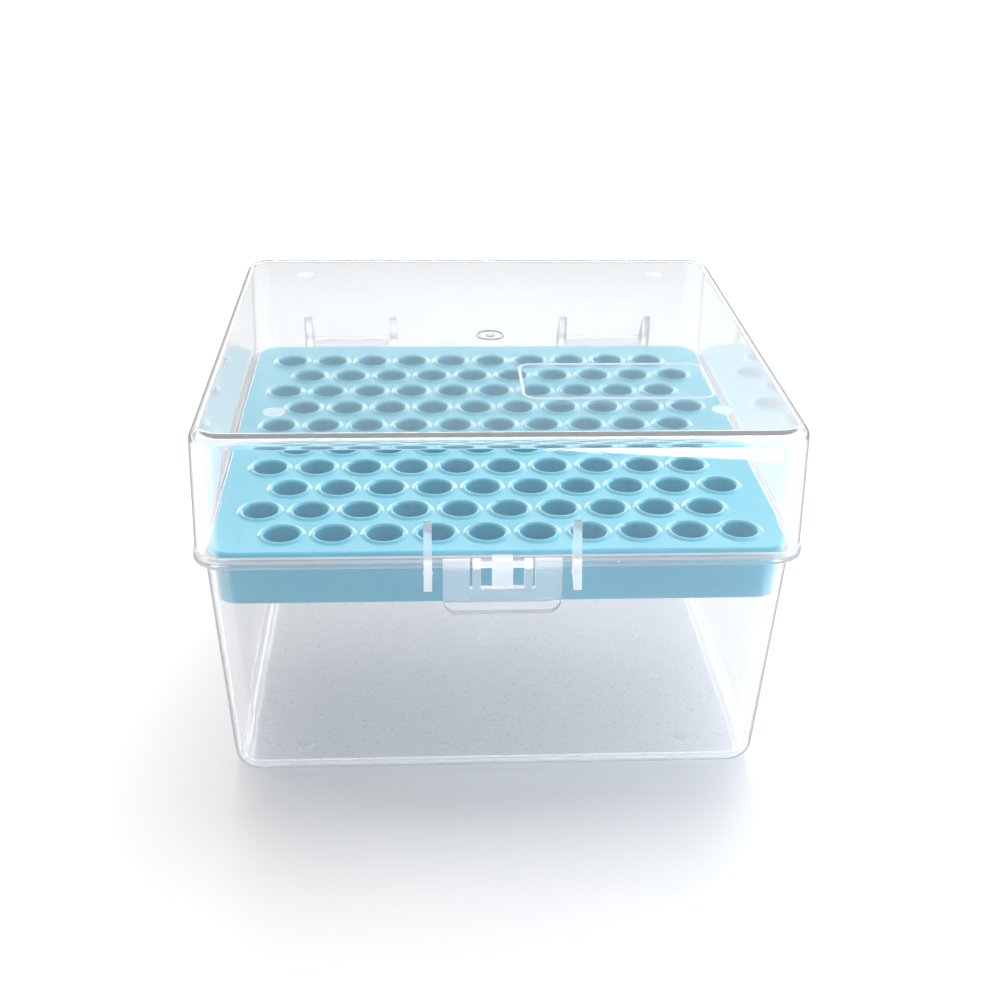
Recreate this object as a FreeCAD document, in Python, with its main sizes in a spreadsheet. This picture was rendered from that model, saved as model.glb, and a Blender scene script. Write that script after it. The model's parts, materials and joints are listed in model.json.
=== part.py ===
import FreeCAD, Part
import math
import os
import Sketcher

# A hinged box for long pipette tips: a drafted tub, a lift-out tray with ten by ten
# staggered wells, a clear lid that turns on two moulded pins at the rear, and a flip
# latch that hangs on two stub axles at the lid's front.
# Millimetres, +Z up, origin at the middle of the tub's flat underside, +Y to the hinge.

V = FreeCAD.Vector

SIZES = (
    # shells
    ("rim_width", 129.0, "both rims, side to side"),
    ("rim_depth", 127.0, "both rims, front to rear"),
    ("tub_height", 57.0, "table to the parting plane"),
    ("lid_height", 28.0, "parting plane to the lid's top"),
    ("tub_wall", 1.5, "wall and floor of the tub"),
    ("tub_flange", 1.3, "thickness of the tub's rim flange"),
    ("flange_proud", 2.1, "tub flange beyond its wall"),
    ("tub_draft", 3.0, "draft of the tub's wall, in degrees"),
    ("tub_corner", 6.5, "upright corners of the tub's wall"),
    ("tub_round", 4.0, "outer rounding round the tub's floor"),
    ("lid_wall", 1.5, "wall and top panel of the lid"),
    ("lid_flange", 1.5, "height of the lid's rim flange"),
    ("lid_step", 0.35, "lid flange beyond its wall"),
    ("lid_draft", 1.25, "draft of the lid's wall, in degrees"),
    ("lid_corner", 7.0, "upright corners of the lid's wall"),
    ("lid_round", 4.0, "outer rounding round the lid's top"),
    # tray
    ("lip_gap", 1.0, "tray lip to the lid's inner wall"),
    ("tray_gap", 0.3, "tray skirt to the tub's inner wall"),
    ("tray_wall", 1.5, "plate and skirt of the tray"),
    ("plate_corner", 6.0, "corners of the tray's plate"),
    ("plate_round", 1.2, "rounding of the tray's top edge"),
    ("skirt_depth", 11.5, "tray skirt below the rim"),
    ("well_bore", 7.5, "bore of a well"),
    ("well_wall", 1.1, "least wall of a well's six-sided sleeve"),
    ("sleeve_depth", 9.0, "sleeve below the plate"),
    ("pitch_across", 10.9, "well to well in a row"),
    ("pitch_back", 11.15, "row to row"),
    ("row_shift", 5.45, "sideways step between neighbouring rows"),
    ("well_border", 9.0, "mean distance from the plate's edge to the outer wells"),
    ("field_front", 2.4, "middle of the field of wells, to the front"),
    # rear hinge
    ("hinge_reach", 3.5, "hinge axis behind the rims"),
    ("pin", 2.4, "diameter of the lid's two hinge pins"),
    ("pin_gap", 0.05, "radial clearance of pins and axles"),
    ("hook_wall", 1.35, "wall of the tub's hinge hooks"),
    ("hook_length", 20.9, "length of a hinge hook"),
    ("hook_mouth", 1.9, "opening under a hinge hook"),
    ("hook_place", 36.25, "middle of a hook from the box's middle"),
    ("side_gap", 0.5, "hook to the ear beside it"),
    ("ear_thick", 2.1, "hinge ear"),
    ("ear_rise", 9.6, "tip of an ear above the parting plane"),
    ("moving_gap", 0.3, "moving piece to the flange it passes"),
    ("stop_gap", 0.1, "hinge stop to the tub flange with the lid fully open"),
    ("stop_reach", 4.7, "hinge stop from the hinge axis"),
    ("stop_thick", 1.7, "hinge stop"),
    ("open_angle", 110.0, "travel of the lid, in degrees"),
    # latch
    ("latch_width", 24.8, "latch, side to side"),
    ("latch_drop", 10.4, "axle to the latch's lower edge"),
    ("latch_plate", 1.4, "latch plate"),
    ("latch_roll", 1.3, "radius of the roll along the latch's top"),
    ("lip_start", 7.0, "axle to the start of the finger lip"),
    ("lip_curve", 7.4, "inner radius of the finger lip"),
    ("latch_corner", 2.8, "lower corners of the latch"),
    ("axle_rise", 0.4, "axle above the parting plane"),
    ("axle", 1.4, "diameter of the stub axles"),
    ("lug_width", 4.3, "lug that carries the axles"),
    ("lug_drop", 4.5, "lug below the parting plane"),
    ("lug_round", 0.9, "front edges of the lug"),
    ("arm_gap", 2.4, "lug to a latch arm"),
    ("arm_width", 1.65, "latch arm on a stub axle"),
    ("slit", 0.6, "slit beside a latch arm"),
    ("window_gap", 0.3, "lug to the bottom of the latch window"),
    ("ridge_start", 6.9, "latch middle to the near end of a catch ridge"),
    ("ridge_length", 4.4, "catch ridge and the pad below it"),
    ("ridge_height", 1.7, "catch ridge, top to bottom at its root"),
    ("ridge_lead", 0.2, "slope over the crest of a catch ridge, top to bottom"),
    ("ridge_land", 0.5, "flat crest of a catch ridge, top to bottom"),
    ("ridge_gap", 0.1, "catch ridge to the tub flange"),
    ("pad_thick", 0.5, "pad that stiffens a wing below its ridge"),
    ("pad_drop", 8.0, "axle to the lower edge of a pad"),
    # guards beside the latch
    ("guard_gap", 2.2, "latch to a guard ear"),
    ("guard_thick", 1.7, "guard ear"),
    ("guard_reach", 4.7, "guard ear in front of the rims"),
    ("guard_drop", 4.3, "guard ear below the parting plane"),
    # moulding marks
    ("gate_ring", 6.8, "ring round the gate mark on the lid"),
    ("gate_rib", 0.5, "width of that ring"),
    ("gate_depth", 0.3, "depth of that ring"),
    ("gate_front", 2.6, "middle of that ring, to the front"),
    ("ejector", 4.5, "ejector pin marks"),
    ("ejector_depth", 0.2, "depth of an ejector pin mark"),
    ("ejector_side", 17.5, "ejector pin mark from the rims' sides"),
    ("ejector_front", 15.9, "ejector pin mark from the rims' front and rear"),
    ("label_width", 41.6, "label field on the lid, across"),
    ("label_depth", 21.0, "label field on the lid, front to rear"),
    ("label_right", 26.0, "middle of the label field, to the right"),
    ("label_front", 32.2, "middle of the label field, to the front"),
    ("label_corner", 3.0, "corners of the label field"),
    ("label_rib", 0.8, "width of the rib round the label field"),
    ("label_rise", 0.2, "height of that rib"),
)


class Size:
    """A number together with the spreadsheet expression that it comes from."""

    def __init__(self, text, value):
        self.text = text
        self.value = value

    @staticmethod
    def of(number):
        return number if isinstance(number, Size) else Size(repr(number), number)

    def __add__(self, other):
        other = Size.of(other)
        return Size(f"({self.text} + {other.text})", self.value + other.value)

    def __sub__(self, other):
        other = Size.of(other)
        return Size(f"({self.text} - {other.text})", self.value - other.value)

    def __mul__(self, other):
        other = Size.of(other)
        return Size(f"({self.text} * {other.text})", self.value * other.value)

    def __truediv__(self, other):
        other = Size.of(other)
        return Size(f"({self.text} / {other.text})", self.value / other.value)

    def __radd__(self, other):
        return Size.of(other) + self

    def __rsub__(self, other):
        return Size.of(other) - self

    def __rmul__(self, other):
        return Size.of(other) * self

    def __neg__(self):
        return Size(f"(0 - {self.text})", -self.value)


def root(size):
    return Size(f"sqrt({size.text})", math.sqrt(size.value))


def whole(size):
    return Size(f"floor({size.text})", math.floor(size.value))


def tangent(degrees):
    return Size(f"tan({degrees.text})", math.tan(math.radians(degrees.value)))


def leg(slant, other):
    """The second leg of a right triangle."""
    return root(slant * slant - other * other)


class Sheet:
    """The driving dimensions, each readable as an attribute."""

    def __init__(self, doc, rows):
        sheet = doc.addObject("Spreadsheet::Sheet", "Sizes")
        for line, (name, value, meaning) in enumerate(rows, 1):
            sheet.set(f"A{line}", meaning)
            sheet.set(f"B{line}", str(value))
            sheet.setAlias(f"B{line}", name)
            setattr(self, name, Size(f"Sizes.{name}", value))


doc = FreeCAD.newDocument("tip_box")
size = Sheet(doc, SIZES)
doc.recompute()

half_width = size.rim_width / 2
half_depth = size.rim_depth / 2
hinge_y = half_depth + size.hinge_reach
axle_y = half_depth + size.moving_gap + size.latch_roll
lid_inset = size.lid_step + size.lid_wall / 2
rim_corner = size.lid_corner + size.lid_step


# ---------------------------------------------------------------- sketches and features

def bind(thing, path, amount):
    """Set a property of a document object from a size or a plain number."""
    thing.setExpression(path, Size.of(amount).text)


def origin_plane(body, role):
    return next(item for item in body.Origin.OriginFeatures if item.Role == role)


def new_body(name):
    body = doc.addObject("PartDesign::Body", name)
    body.Label = name
    return body


def new_sketch(body, role, name, offset=0):
    """A sketch parallel to one of the body's planes, offset along that plane's normal."""
    sketch = body.newObject("Sketcher::SketchObject", name)
    sketch.AttachmentSupport = [(origin_plane(body, role), "")]
    sketch.MapMode = "FlatFace"
    bind(sketch, "AttachmentOffset.Base.z", offset)
    return sketch


def dimension(sketch, kind, where, amount):
    amount = Size.of(amount)
    index = sketch.addConstraint(Sketcher.Constraint(kind, *where, float(amount.value)))
    sketch.setExpression(f"Constraints[{index}]", amount.text)


def place(sketch, edge, end, x, y):
    """Fix a point of the sketch at x, y from its origin; plain zeros lie on the axes."""
    for kind, axis, amount in (("DistanceX", -2, x), ("DistanceY", -1, y)):
        if Size.of(amount).value == 0:
            sketch.addConstraint(Sketcher.Constraint("PointOnObject", edge, end, axis))
        else:
            dimension(sketch, kind, (-1, 1, edge, end), amount)


def disc(sketch, x, y, radius):
    centre = V(Size.of(x).value, Size.of(y).value, 0)
    edge = sketch.addGeometry(Part.Circle(centre, V(0, 0, 1), radius.value))
    place(sketch, edge, 3, x, y)
    dimension(sketch, "Radius", (edge,), radius)


def arc_between(start, end, radius, side):
    """A short arc; side 1 turns left on the way from start to end, -1 turns right."""
    chord = end - start
    height = math.sqrt(max(radius ** 2 - chord.Length ** 2 / 4, 0))
    across = V(-chord.y, chord.x, 0).normalize() * height * side
    centre = (start + end) * 0.5 + across
    first, last = (start, end) if side > 0 else (end, start)
    angles = [math.atan2(p.y - centre.y, p.x - centre.x) for p in (first, last)]
    return Part.ArcOfCircle(Part.Circle(centre, V(0, 0, 1), radius), *angles)


def outline(sketch, corners):
    """A closed outline. A corner is (x, y), or (x, y, radius, side) if an arc leaves it."""
    points = [V(Size.of(c[0]).value, Size.of(c[1]).value, 0) for c in corners]
    ends = []
    for number, corner in enumerate(corners):
        start, end = points[number], points[(number + 1) % len(points)]
        if len(corner) == 2:
            edge = sketch.addGeometry(Part.LineSegment(start, end))
            ends.append((edge, 1, 2))
        else:
            radius, side = Size.of(corner[2]), corner[3]
            edge = sketch.addGeometry(arc_between(start, end, radius.value, side))
            ends.append((edge, 1, 2) if side > 0 else (edge, 2, 1))
            dimension(sketch, "Radius", (edge,), radius)
    for number, (edge, start, _) in enumerate(ends):
        before = ends[number - 1]
        sketch.addConstraint(Sketcher.Constraint("Coincident", before[0], before[2], edge, start))
        place(sketch, edge, start, corners[number][0], corners[number][1])


def rounded_box(sketch, across, back, radius, x=0, y=0):
    """A rounded rectangle: half its width, half its depth, its corners and its middle."""
    left, right, front, rear = x - across, x + across, y - back, y + back
    outline(sketch, [
        (left + radius, front), (right - radius, front, radius, 1),
        (right, front + radius), (right, rear - radius, radius, 1),
        (right - radius, rear), (left + radius, rear, radius, 1),
        (left, rear - radius), (left, front + radius, radius, 1),
    ])


def sharp_box(sketch, across, back):
    """A rectangle about the origin: half its width and half its depth."""
    outline(sketch, [(-across, -back), (across, -back), (across, back), (-across, back)])


def finish(body, feature):
    """Compute a new feature; it has to change the body's volume."""
    before = body.Shape.Volume if not body.Shape.isNull() else 0
    body.Tip = feature
    doc.recompute()
    if abs(body.Shape.Volume - before) < 1e-3:
        raise RuntimeError(f"{body.Label}: {feature.Name} changed nothing")
    return feature


def pad(body, sketch, name, length, both=False, down=False):
    feature = body.newObject("PartDesign::Pad", name)
    feature.Profile = sketch
    feature.SideType = "Symmetric" if both else "One side"
    feature.Reversed = down
    bind(feature, "Length", length)
    return finish(body, feature)


def pocket(body, sketch, name, length, both=False, up=False):
    feature = body.newObject("PartDesign::Pocket", name)
    feature.Profile = sketch
    feature.SideType = "Symmetric" if both else "One side"
    feature.Reversed = up
    bind(feature, "Length", length)
    return finish(body, feature)


def at_level(item, height):
    """Whether an edge or a face lies in the horizontal plane at this height."""
    box = item.BoundBox
    return max(abs(box.ZMin - height.value), abs(box.ZMax - height.value)) < 1e-3


def draft(body, feature, name, angle, outwards_up):
    """Lean the upright faces, which keep their place in the body's XY plane."""
    upright = [f"Face{number}" for number, face in enumerate(feature.Shape.Faces, 1)
               if abs(face.normalAt(0, 0).z) < 1e-3]
    lean = body.newObject("PartDesign::Draft", name)
    lean.Base = (feature, upright)
    lean.NeutralPlane = (origin_plane(body, "XY_Plane"), [""])
    lean.Reversed = outwards_up
    bind(lean, "Angle", angle)
    return finish(body, lean)


def moulded_block(body, across, back, height, angle, corner, down):
    """A block that leans inwards away from the parting plane, with even round corners."""
    sketch = new_sketch(body, "XY_Plane", "wall_outline")
    sharp_box(sketch, across, back)
    block = pad(body, sketch, "block", height, down=down)
    leaned = draft(body, block, "wall_draft", angle, outwards_up=down)
    return round_edges(body, leaned, "wall_corners", corner,
                       lambda edge: edge.BoundBox.ZLength > height.value / 2)


def shell(body, feature, name, wall, open_levels):
    """Hollow the block: an even wall inside its faces, and open at the given levels."""
    mouth = [f"Face{number}" for number, face in enumerate(feature.Shape.Faces, 1)
             if any(at_level(face, level) for level in open_levels)]
    hollow = body.newObject("PartDesign::Thickness", name)
    hollow.Base = (feature, mouth)
    hollow.Reversed = True
    hollow.Join = "Intersection"
    bind(hollow, "Value", wall)
    return finish(body, hollow)


def round_edges(body, feature, name, radius, chosen):
    """Fillet the feature's edges for which chosen(edge) holds."""
    edges = [f"Edge{number}" for number, edge in enumerate(feature.Shape.Edges, 1)
             if chosen(edge)]
    fillet = body.newObject("PartDesign::Fillet", name)
    fillet.Base = (feature, edges)
    bind(fillet, "Radius", radius)
    return finish(body, fillet)


def repeat(body, features, name, steps):
    """Repeat features by steps of ("Linear", axis role, length, count) or ("Mirror", plane)."""
    multi = body.newObject("PartDesign::MultiTransform", name)
    multi.Originals = features
    moves = []
    for number, step in enumerate(steps, 1):
        if step[0] == "Mirror":
            move = body.newObject("PartDesign::Mirrored", f"{name}_{number}")
            move.MirrorPlane = (origin_plane(body, step[1]), [""])
        else:
            move = body.newObject("PartDesign::LinearPattern", f"{name}_{number}")
            move.Direction = (origin_plane(body, step[1]), [""])
            bind(move, "Length", step[2])
            bind(move, "Occurrences", step[3])
        moves.append(move)
    multi.Transformations = moves
    return finish(body, multi)


# ---------------------------------------------------------------- tub

def ejector_marks(sketch):
    """Four round marks near the corners of a moulding's inner face."""
    across = half_width - size.ejector_side
    back = half_depth - size.ejector_front
    for x in (-across, across):
        for y in (-back, back):
            disc(sketch, x, y, size.ejector / 2)


def build_tub():
    """The tub: drafted shell, rim flange and the two hooks that hold the lid's pins."""
    body = new_body("base_tub")
    bind(body, "Placement.Base.z", size.tub_height)
    foot = -size.tub_height
    block = moulded_block(body, half_width - size.flange_proud,
                          half_depth - size.flange_proud, size.tub_height,
                          size.tub_draft, size.tub_corner, down=True)
    rounded = round_edges(body, block, "foot_rounding", size.tub_round,
                          lambda edge: at_level(edge, foot))
    shell(body, rounded, "hollow", size.tub_wall, open_levels=(Size.of(0),))
    flange = new_sketch(body, "XY_Plane", "flange_outline")
    rounded_box(flange, half_width, half_depth, rim_corner)
    root_inset = size.flange_proud + size.tub_wall / 2
    rounded_box(flange, half_width - root_inset, half_depth - root_inset,
                size.tub_corner - size.tub_wall / 2)
    pad(body, flange, "flange", size.tub_flange, down=True)
    marks = new_sketch(body, "XY_Plane", "ejector_places", foot + size.tub_wall)
    ejector_marks(marks)
    pocket(body, marks, "ejector_marks", size.ejector_depth)
    add_hooks(body)
    return body


def add_hooks(body):
    """C-shaped hinge hooks, open downwards so that they leave the mould and snap on."""
    inner = size.pin / 2 + size.pin_gap
    outer = inner + size.hook_wall
    mouth = size.hook_mouth / 2
    sketch = new_sketch(body, "YZ_Plane", "hook_outline",
                        size.hook_place - size.hook_length / 2)
    web_root = half_depth - size.flange_proud / 2
    outline(sketch, [
        (web_root, 0),
        (hinge_y - outer, 0, outer, -1),
        (hinge_y, outer, outer, -1),
        (hinge_y + mouth, -leg(outer, mouth)),
        (hinge_y + mouth, -leg(inner, mouth), inner, 1),
        (hinge_y, inner, inner, 1),
        (hinge_y - mouth, -leg(inner, mouth)),
        (hinge_y - mouth, -leg(outer, mouth), outer, -1),
        (hinge_y - leg(outer, size.tub_flange), -size.tub_flange),
        (web_root, -size.tub_flange),
    ])
    hook = pad(body, sketch, "hook", size.hook_length)
    repeat(body, [hook], "hooks", [("Mirror", "YZ_Plane")])


# ---------------------------------------------------------------- tray

def build_tray():
    """The lift-out tray: a plate that rests on the tub's rim, a skirt, and the wells."""
    body = new_body("tip_tray")
    bind(body, "Placement.Base.z", size.tub_height)
    wall_inset = size.flange_proud + size.tub_wall + size.tray_gap
    block = moulded_block(body, half_width - wall_inset, half_depth - wall_inset,
                          size.skirt_depth, size.tub_draft,
                          size.tub_corner - size.tub_wall - size.tray_gap, down=True)
    shell(body, block, "skirt", size.tray_wall, open_levels=(Size.of(0), -size.skirt_depth))
    lip_inset = size.lid_step + size.lid_wall + size.lip_gap
    plate_across = half_width - lip_inset
    plate_back = half_depth - lip_inset
    lip = new_sketch(body, "XY_Plane", "plate_outline")
    rounded_box(lip, plate_across, plate_back, size.plate_corner)
    plate = pad(body, lip, "plate", size.tray_wall)
    round_edges(body, plate, "plate_rounding", size.plate_round,
                lambda edge: at_level(edge, size.tray_wall))

    columns = whole((2 * (plate_across - size.well_border) - size.row_shift)
                    / size.pitch_across) + 1
    pairs = whole((2 * (plate_back - size.well_border) / size.pitch_back + 1) / 2)
    first_x = -(columns - 1) * size.pitch_across / 2
    first_y = -(2 * pairs - 1) * size.pitch_back / 2 - size.field_front
    places = [(first_x + size.row_shift / 2, first_y),
              (first_x - size.row_shift / 2, first_y + size.pitch_back)]
    grid = [("Linear", "X_Axis", (columns - 1) * size.pitch_across, columns),
            ("Linear", "Y_Axis", (pairs - 1) * size.pitch_back * 2, pairs)]

    sleeve = new_sketch(body, "XY_Plane", "sleeve_outline")
    flat = size.well_bore / 2 + size.well_wall
    for x, y in places:
        hexagon(sketch=sleeve, x=x, y=y, flat=flat)
    sleeves = pad(body, sleeve, "sleeve_pair", size.sleeve_depth, down=True)
    repeat(body, [sleeves], "sleeves", grid)

    bore = new_sketch(body, "XY_Plane", "bore_outline", size.tray_wall)
    for x, y in places:
        disc(bore, x, y, size.well_bore / 2)
    bores = pocket(body, bore, "bore_pair", size.tray_wall + size.sleeve_depth)
    repeat(body, [bores], "bores", grid)
    return body


def hexagon(sketch, x, y, flat):
    """A six-sided sleeve outline with flats to the left and right."""
    slope = math.sqrt(1 / 3)
    outline(sketch, [
        (x + flat, y - flat * slope), (x + flat, y + flat * slope),
        (x, y + flat * 2 * slope), (x - flat, y + flat * slope),
        (x - flat, y - flat * slope), (x, y - flat * 2 * slope),
    ])


# ---------------------------------------------------------------- lid

def build_lid():
    """The clear lid with its hinge ears and pins, latch lug and guard ears."""
    body = new_body("lid")
    bind(body, "Placement.Base.z", size.tub_height)
    block = moulded_block(body, half_width - size.lid_step, half_depth - size.lid_step,
                          size.lid_height, size.lid_draft, size.lid_corner, down=False)
    rounded = round_edges(body, block, "top_rounding", size.lid_round,
                          lambda edge: at_level(edge, size.lid_height))
    shell(body, rounded, "hollow", size.lid_wall, open_levels=(Size.of(0),))
    flange = new_sketch(body, "XY_Plane", "flange_outline")
    rounded_box(flange, half_width, half_depth, rim_corner)
    rounded_box(flange, half_width - lid_inset, half_depth - lid_inset,
                rim_corner - lid_inset)
    pad(body, flange, "flange", size.lid_flange)
    add_lid_marks(body)
    add_hinge_ears(body)
    add_latch_lug(body)
    add_guards(body)
    return body


def add_lid_marks(body):
    """The label field's rib, the gate ring and the ejector marks."""
    rib = new_sketch(body, "XY_Plane", "label_outline", size.lid_height)
    for inset in (0, size.label_rib):
        rounded_box(rib, size.label_width / 2 - inset, size.label_depth / 2 - inset,
                    size.label_corner - inset, size.label_right, -size.label_front)
    pad(body, rib, "label_rib", size.label_rise)
    gate = new_sketch(body, "XY_Plane", "gate_outline", size.lid_height)
    for radius in (size.gate_ring / 2, size.gate_ring / 2 - size.gate_rib):
        disc(gate, 0, -size.gate_front, radius)
    pocket(body, gate, "gate_ring", size.gate_depth)
    marks = new_sketch(body, "XY_Plane", "ejector_places", size.lid_height - size.lid_wall)
    ejector_marks(marks)
    pocket(body, marks, "ejector_marks", size.ejector_depth, up=True)


def lid_face(height):
    """Distance of the lid's outer wall face from the middle plane, front and rear."""
    return half_depth - size.lid_step - height * tangent(size.lid_draft)


def tangent_point(tip_y, tip_z, radius):
    """Where a line from the tip touches the far side of a circle about the hinge axis."""
    y, z = tip_y - hinge_y, tip_z
    far = y * y + z * z
    reach = root(far - radius * radius)
    return (hinge_y + (radius * radius * y + radius * reach * z) / far,
            (radius * radius * z - radius * reach * y) / far)


def add_hinge_ears(body):
    """Two pairs of ears, each with a stop nose and a pin moulded between the pair."""
    boss = size.hinge_reach - size.moving_gap
    inner_face = size.hook_place - size.hook_length / 2 - size.side_gap
    ear = new_sketch(body, "YZ_Plane", "ear_outline", inner_face - size.ear_thick)
    outline(ear, [
        (half_depth - lid_inset, 0), (half_depth - lid_inset, size.ear_rise),
        (lid_face(size.ear_rise), size.ear_rise),
        (*tangent_point(lid_face(size.ear_rise), size.ear_rise, boss), boss, -1),
        (hinge_y, -boss, boss, -1),
        (hinge_y - boss, 0),
    ])
    ear_plate = pad(body, ear, "ear", size.ear_thick)
    nose = new_sketch(body, "YZ_Plane", "stop_outline", inner_face - size.ear_thick)
    bind(nose, "AttachmentOffset.Base.x", hinge_y)
    bind(nose, "AttachmentOffset.Rotation.Angle", size.open_angle)
    upper = -size.tub_flange - size.stop_gap
    lower = upper - size.stop_thick
    outline(nose, [(-size.stop_reach, lower), (0, lower), (0, upper),
                   (-size.stop_reach, upper)])
    stop = pad(body, nose, "ear_stop", size.ear_thick)
    spacing = size.hook_length + 2 * size.side_gap + size.ear_thick
    repeat(body, [ear_plate, stop], "ears",
           [("Linear", "X_Axis", spacing, 2), ("Mirror", "YZ_Plane")])
    pin = new_sketch(body, "YZ_Plane", "pin_outline", inner_face - size.ear_thick / 2)
    disc(pin, hinge_y, 0, size.pin / 2)
    pins = pad(body, pin, "pin", spacing)
    repeat(body, [pins], "pins", [("Mirror", "YZ_Plane")])


def add_latch_lug(body):
    """The lug in front of the rims and the stub axles on both its sides."""
    front = axle_y + size.latch_roll
    back = half_depth + size.moving_gap
    top = size.axle_rise + size.latch_roll
    curve = size.lug_round
    lug = new_sketch(body, "YZ_Plane", "lug_outline")
    outline(lug, [
        (-(half_depth - lid_inset), 0), (-back, 0), (-back, -size.lug_drop),
        (-(front - curve), -size.lug_drop, curve, -1),
        (-front, -size.lug_drop + curve),
        (-front, top - curve, curve, -1),
        (-(front - curve), top), (-(half_depth - lid_inset), top),
    ])
    pad(body, lug, "lug", size.lug_width, both=True)
    axle = new_sketch(body, "YZ_Plane", "axle_outline")
    disc(axle, -axle_y, size.axle_rise, size.axle / 2)
    arms = size.lug_width / 2 + size.arm_gap + size.arm_width
    pad(body, axle, "axles", 2 * arms, both=True)


def add_guards(body):
    """Ears on both sides of the latch that keep it from being knocked open."""
    sketch = new_sketch(body, "YZ_Plane", "guard_outline",
                        size.latch_width / 2 + size.guard_gap)
    outline(sketch, [
        (-(half_depth - lid_inset), 0), (-(half_depth + size.moving_gap), 0),
        (-(half_depth + size.moving_gap), -size.guard_drop),
        (-(half_depth + size.guard_reach), -size.guard_drop),
        (-lid_face(size.ear_rise), size.ear_rise),
        (-(half_depth - lid_inset), size.ear_rise),
    ])
    guard = pad(body, sketch, "guard", size.guard_thick)
    repeat(body, [guard], "guards", [("Mirror", "YZ_Plane")])


# ---------------------------------------------------------------- latch

def build_latch():
    """The flip latch, drawn about its axle: two wings, two arms and a finger lip."""
    body = new_body("latch")
    bind(body, "Placement.Base.y", -axle_y)
    bind(body, "Placement.Base.z", size.tub_height + size.axle_rise)
    roll = size.latch_roll
    inner = size.latch_plate - roll
    bend = size.latch_drop - size.lip_start
    outer_curve = size.lip_curve - size.latch_plate
    profile = new_sketch(body, "YZ_Plane", "profile")
    outline(profile, [
        (-roll, 0, roll, -1), (0, roll, roll, -1), (inner, -leg(roll, inner)),
        (inner, -size.lip_start, size.lip_curve, -1),
        (inner - size.lip_curve + leg(size.lip_curve, bend), -size.latch_drop),
        (inner - size.lip_curve + leg(outer_curve, bend), -size.latch_drop,
         outer_curve, 1),
        (-roll, -size.lip_start),
    ])
    plate = pad(body, profile, "flap", size.latch_width, both=True)
    round_edges(body, plate, "lower_corners", size.latch_corner,
                lambda edge: at_level(edge, -size.latch_drop) and edge.BoundBox.XLength < 1e-3)
    add_latch_openings(body)
    add_catch_ridges(body)
    return body


def add_latch_openings(body):
    """The window round the lug, the slits that free the arms, and the axle bores."""
    arm_start = size.lug_width / 2 + size.arm_gap
    arm_end = arm_start + size.arm_width
    window = new_sketch(body, "XZ_Plane", "window_outline")
    top = size.latch_roll * 2
    bottom = -(size.axle_rise + size.lug_drop + size.window_gap)
    for left, right in ((-arm_start, arm_start), (arm_end, arm_end + size.slit),
                        (-arm_end - size.slit, -arm_end)):
        outline(window, [(left, bottom), (right, bottom), (right, top), (left, top)])
    pocket(body, window, "window", 4 * size.latch_roll, both=True)
    bore = new_sketch(body, "YZ_Plane", "bore_outline")
    disc(bore, 0, 0, size.axle / 2 + size.pin_gap)
    pocket(body, bore, "bores", 2 * arm_end + size.slit, both=True)


def add_catch_ridges(body):
    """Ridges on the wings' inner side that lie just under the tub's flange."""
    inner = size.latch_plate - size.latch_roll
    flange_bottom = size.tub_flange + size.axle_rise
    tip = size.moving_gap + size.latch_roll - size.ridge_gap
    ridge = new_sketch(body, "YZ_Plane", "ridge_outline", size.ridge_start)
    root_y = inner - size.latch_plate / 2
    crest = -flange_bottom - size.ridge_lead
    outline(ridge, [
        (root_y, -flange_bottom), (inner, -flange_bottom),
        (tip, crest), (tip, crest - size.ridge_land),
        (inner + size.pad_thick, -flange_bottom - size.ridge_height),
        (inner + size.pad_thick, -size.pad_drop), (root_y, -size.pad_drop),
    ])
    feature = pad(body, ridge, "ridge", size.ridge_length)
    repeat(body, [feature], "ridges", [("Mirror", "YZ_Plane")])


# ---------------------------------------------------------------- build and write

def check(bodies):
    """Every object has to be computed, and every body has to be one valid solid."""
    for item in doc.Objects:
        if "Invalid" in item.State or "Error" in item.State:
            raise RuntimeError(f"{item.Name} failed: {item.State}")
    for body in bodies:
        shape = body.Shape
        if shape.isNull() or not shape.isValid() or len(shape.Solids) != 1:
            raise RuntimeError(f"{body.Label} is not one valid solid")


bodies = [build_tub(), build_tray(), build_lid(), build_latch()]
doc.recompute()
check(bodies)
os.makedirs("parts", exist_ok=True)
for body in bodies:
    body.Shape.exportStep(f"parts/{body.Label}.step")
    print(body.Label, round(body.Shape.Volume), body.Shape.BoundBox)
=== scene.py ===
"""Looks of a hinged box for long pipette tips: clear tub and lid, blue tray, flip latch.

The box's own sizes are millimetres, as on its drawing, and the mesh code turns them into
metres. The studio's places and sizes are metres. +Z is up, +Y points to the hinge and the
origin is under the tub.
"""

import json
import logging
import math
from dataclasses import dataclass, field
from enum import Enum
from typing import Callable, Iterable, Sequence

import bmesh
import bpy
from mathutils import Matrix, Vector


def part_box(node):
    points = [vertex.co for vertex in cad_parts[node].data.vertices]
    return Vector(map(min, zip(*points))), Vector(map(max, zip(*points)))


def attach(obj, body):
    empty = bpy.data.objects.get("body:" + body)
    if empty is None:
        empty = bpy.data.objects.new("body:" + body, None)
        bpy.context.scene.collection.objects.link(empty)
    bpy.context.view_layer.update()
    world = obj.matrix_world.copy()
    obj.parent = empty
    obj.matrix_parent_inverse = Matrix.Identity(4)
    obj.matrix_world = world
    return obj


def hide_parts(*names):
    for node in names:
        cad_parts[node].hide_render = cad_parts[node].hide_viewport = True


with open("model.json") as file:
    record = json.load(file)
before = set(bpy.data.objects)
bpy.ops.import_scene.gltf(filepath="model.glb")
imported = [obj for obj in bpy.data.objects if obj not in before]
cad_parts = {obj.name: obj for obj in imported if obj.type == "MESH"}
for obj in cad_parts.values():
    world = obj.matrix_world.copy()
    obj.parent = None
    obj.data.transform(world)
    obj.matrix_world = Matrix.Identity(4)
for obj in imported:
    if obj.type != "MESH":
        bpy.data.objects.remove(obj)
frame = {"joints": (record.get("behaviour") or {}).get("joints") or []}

MM = 0.001
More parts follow.
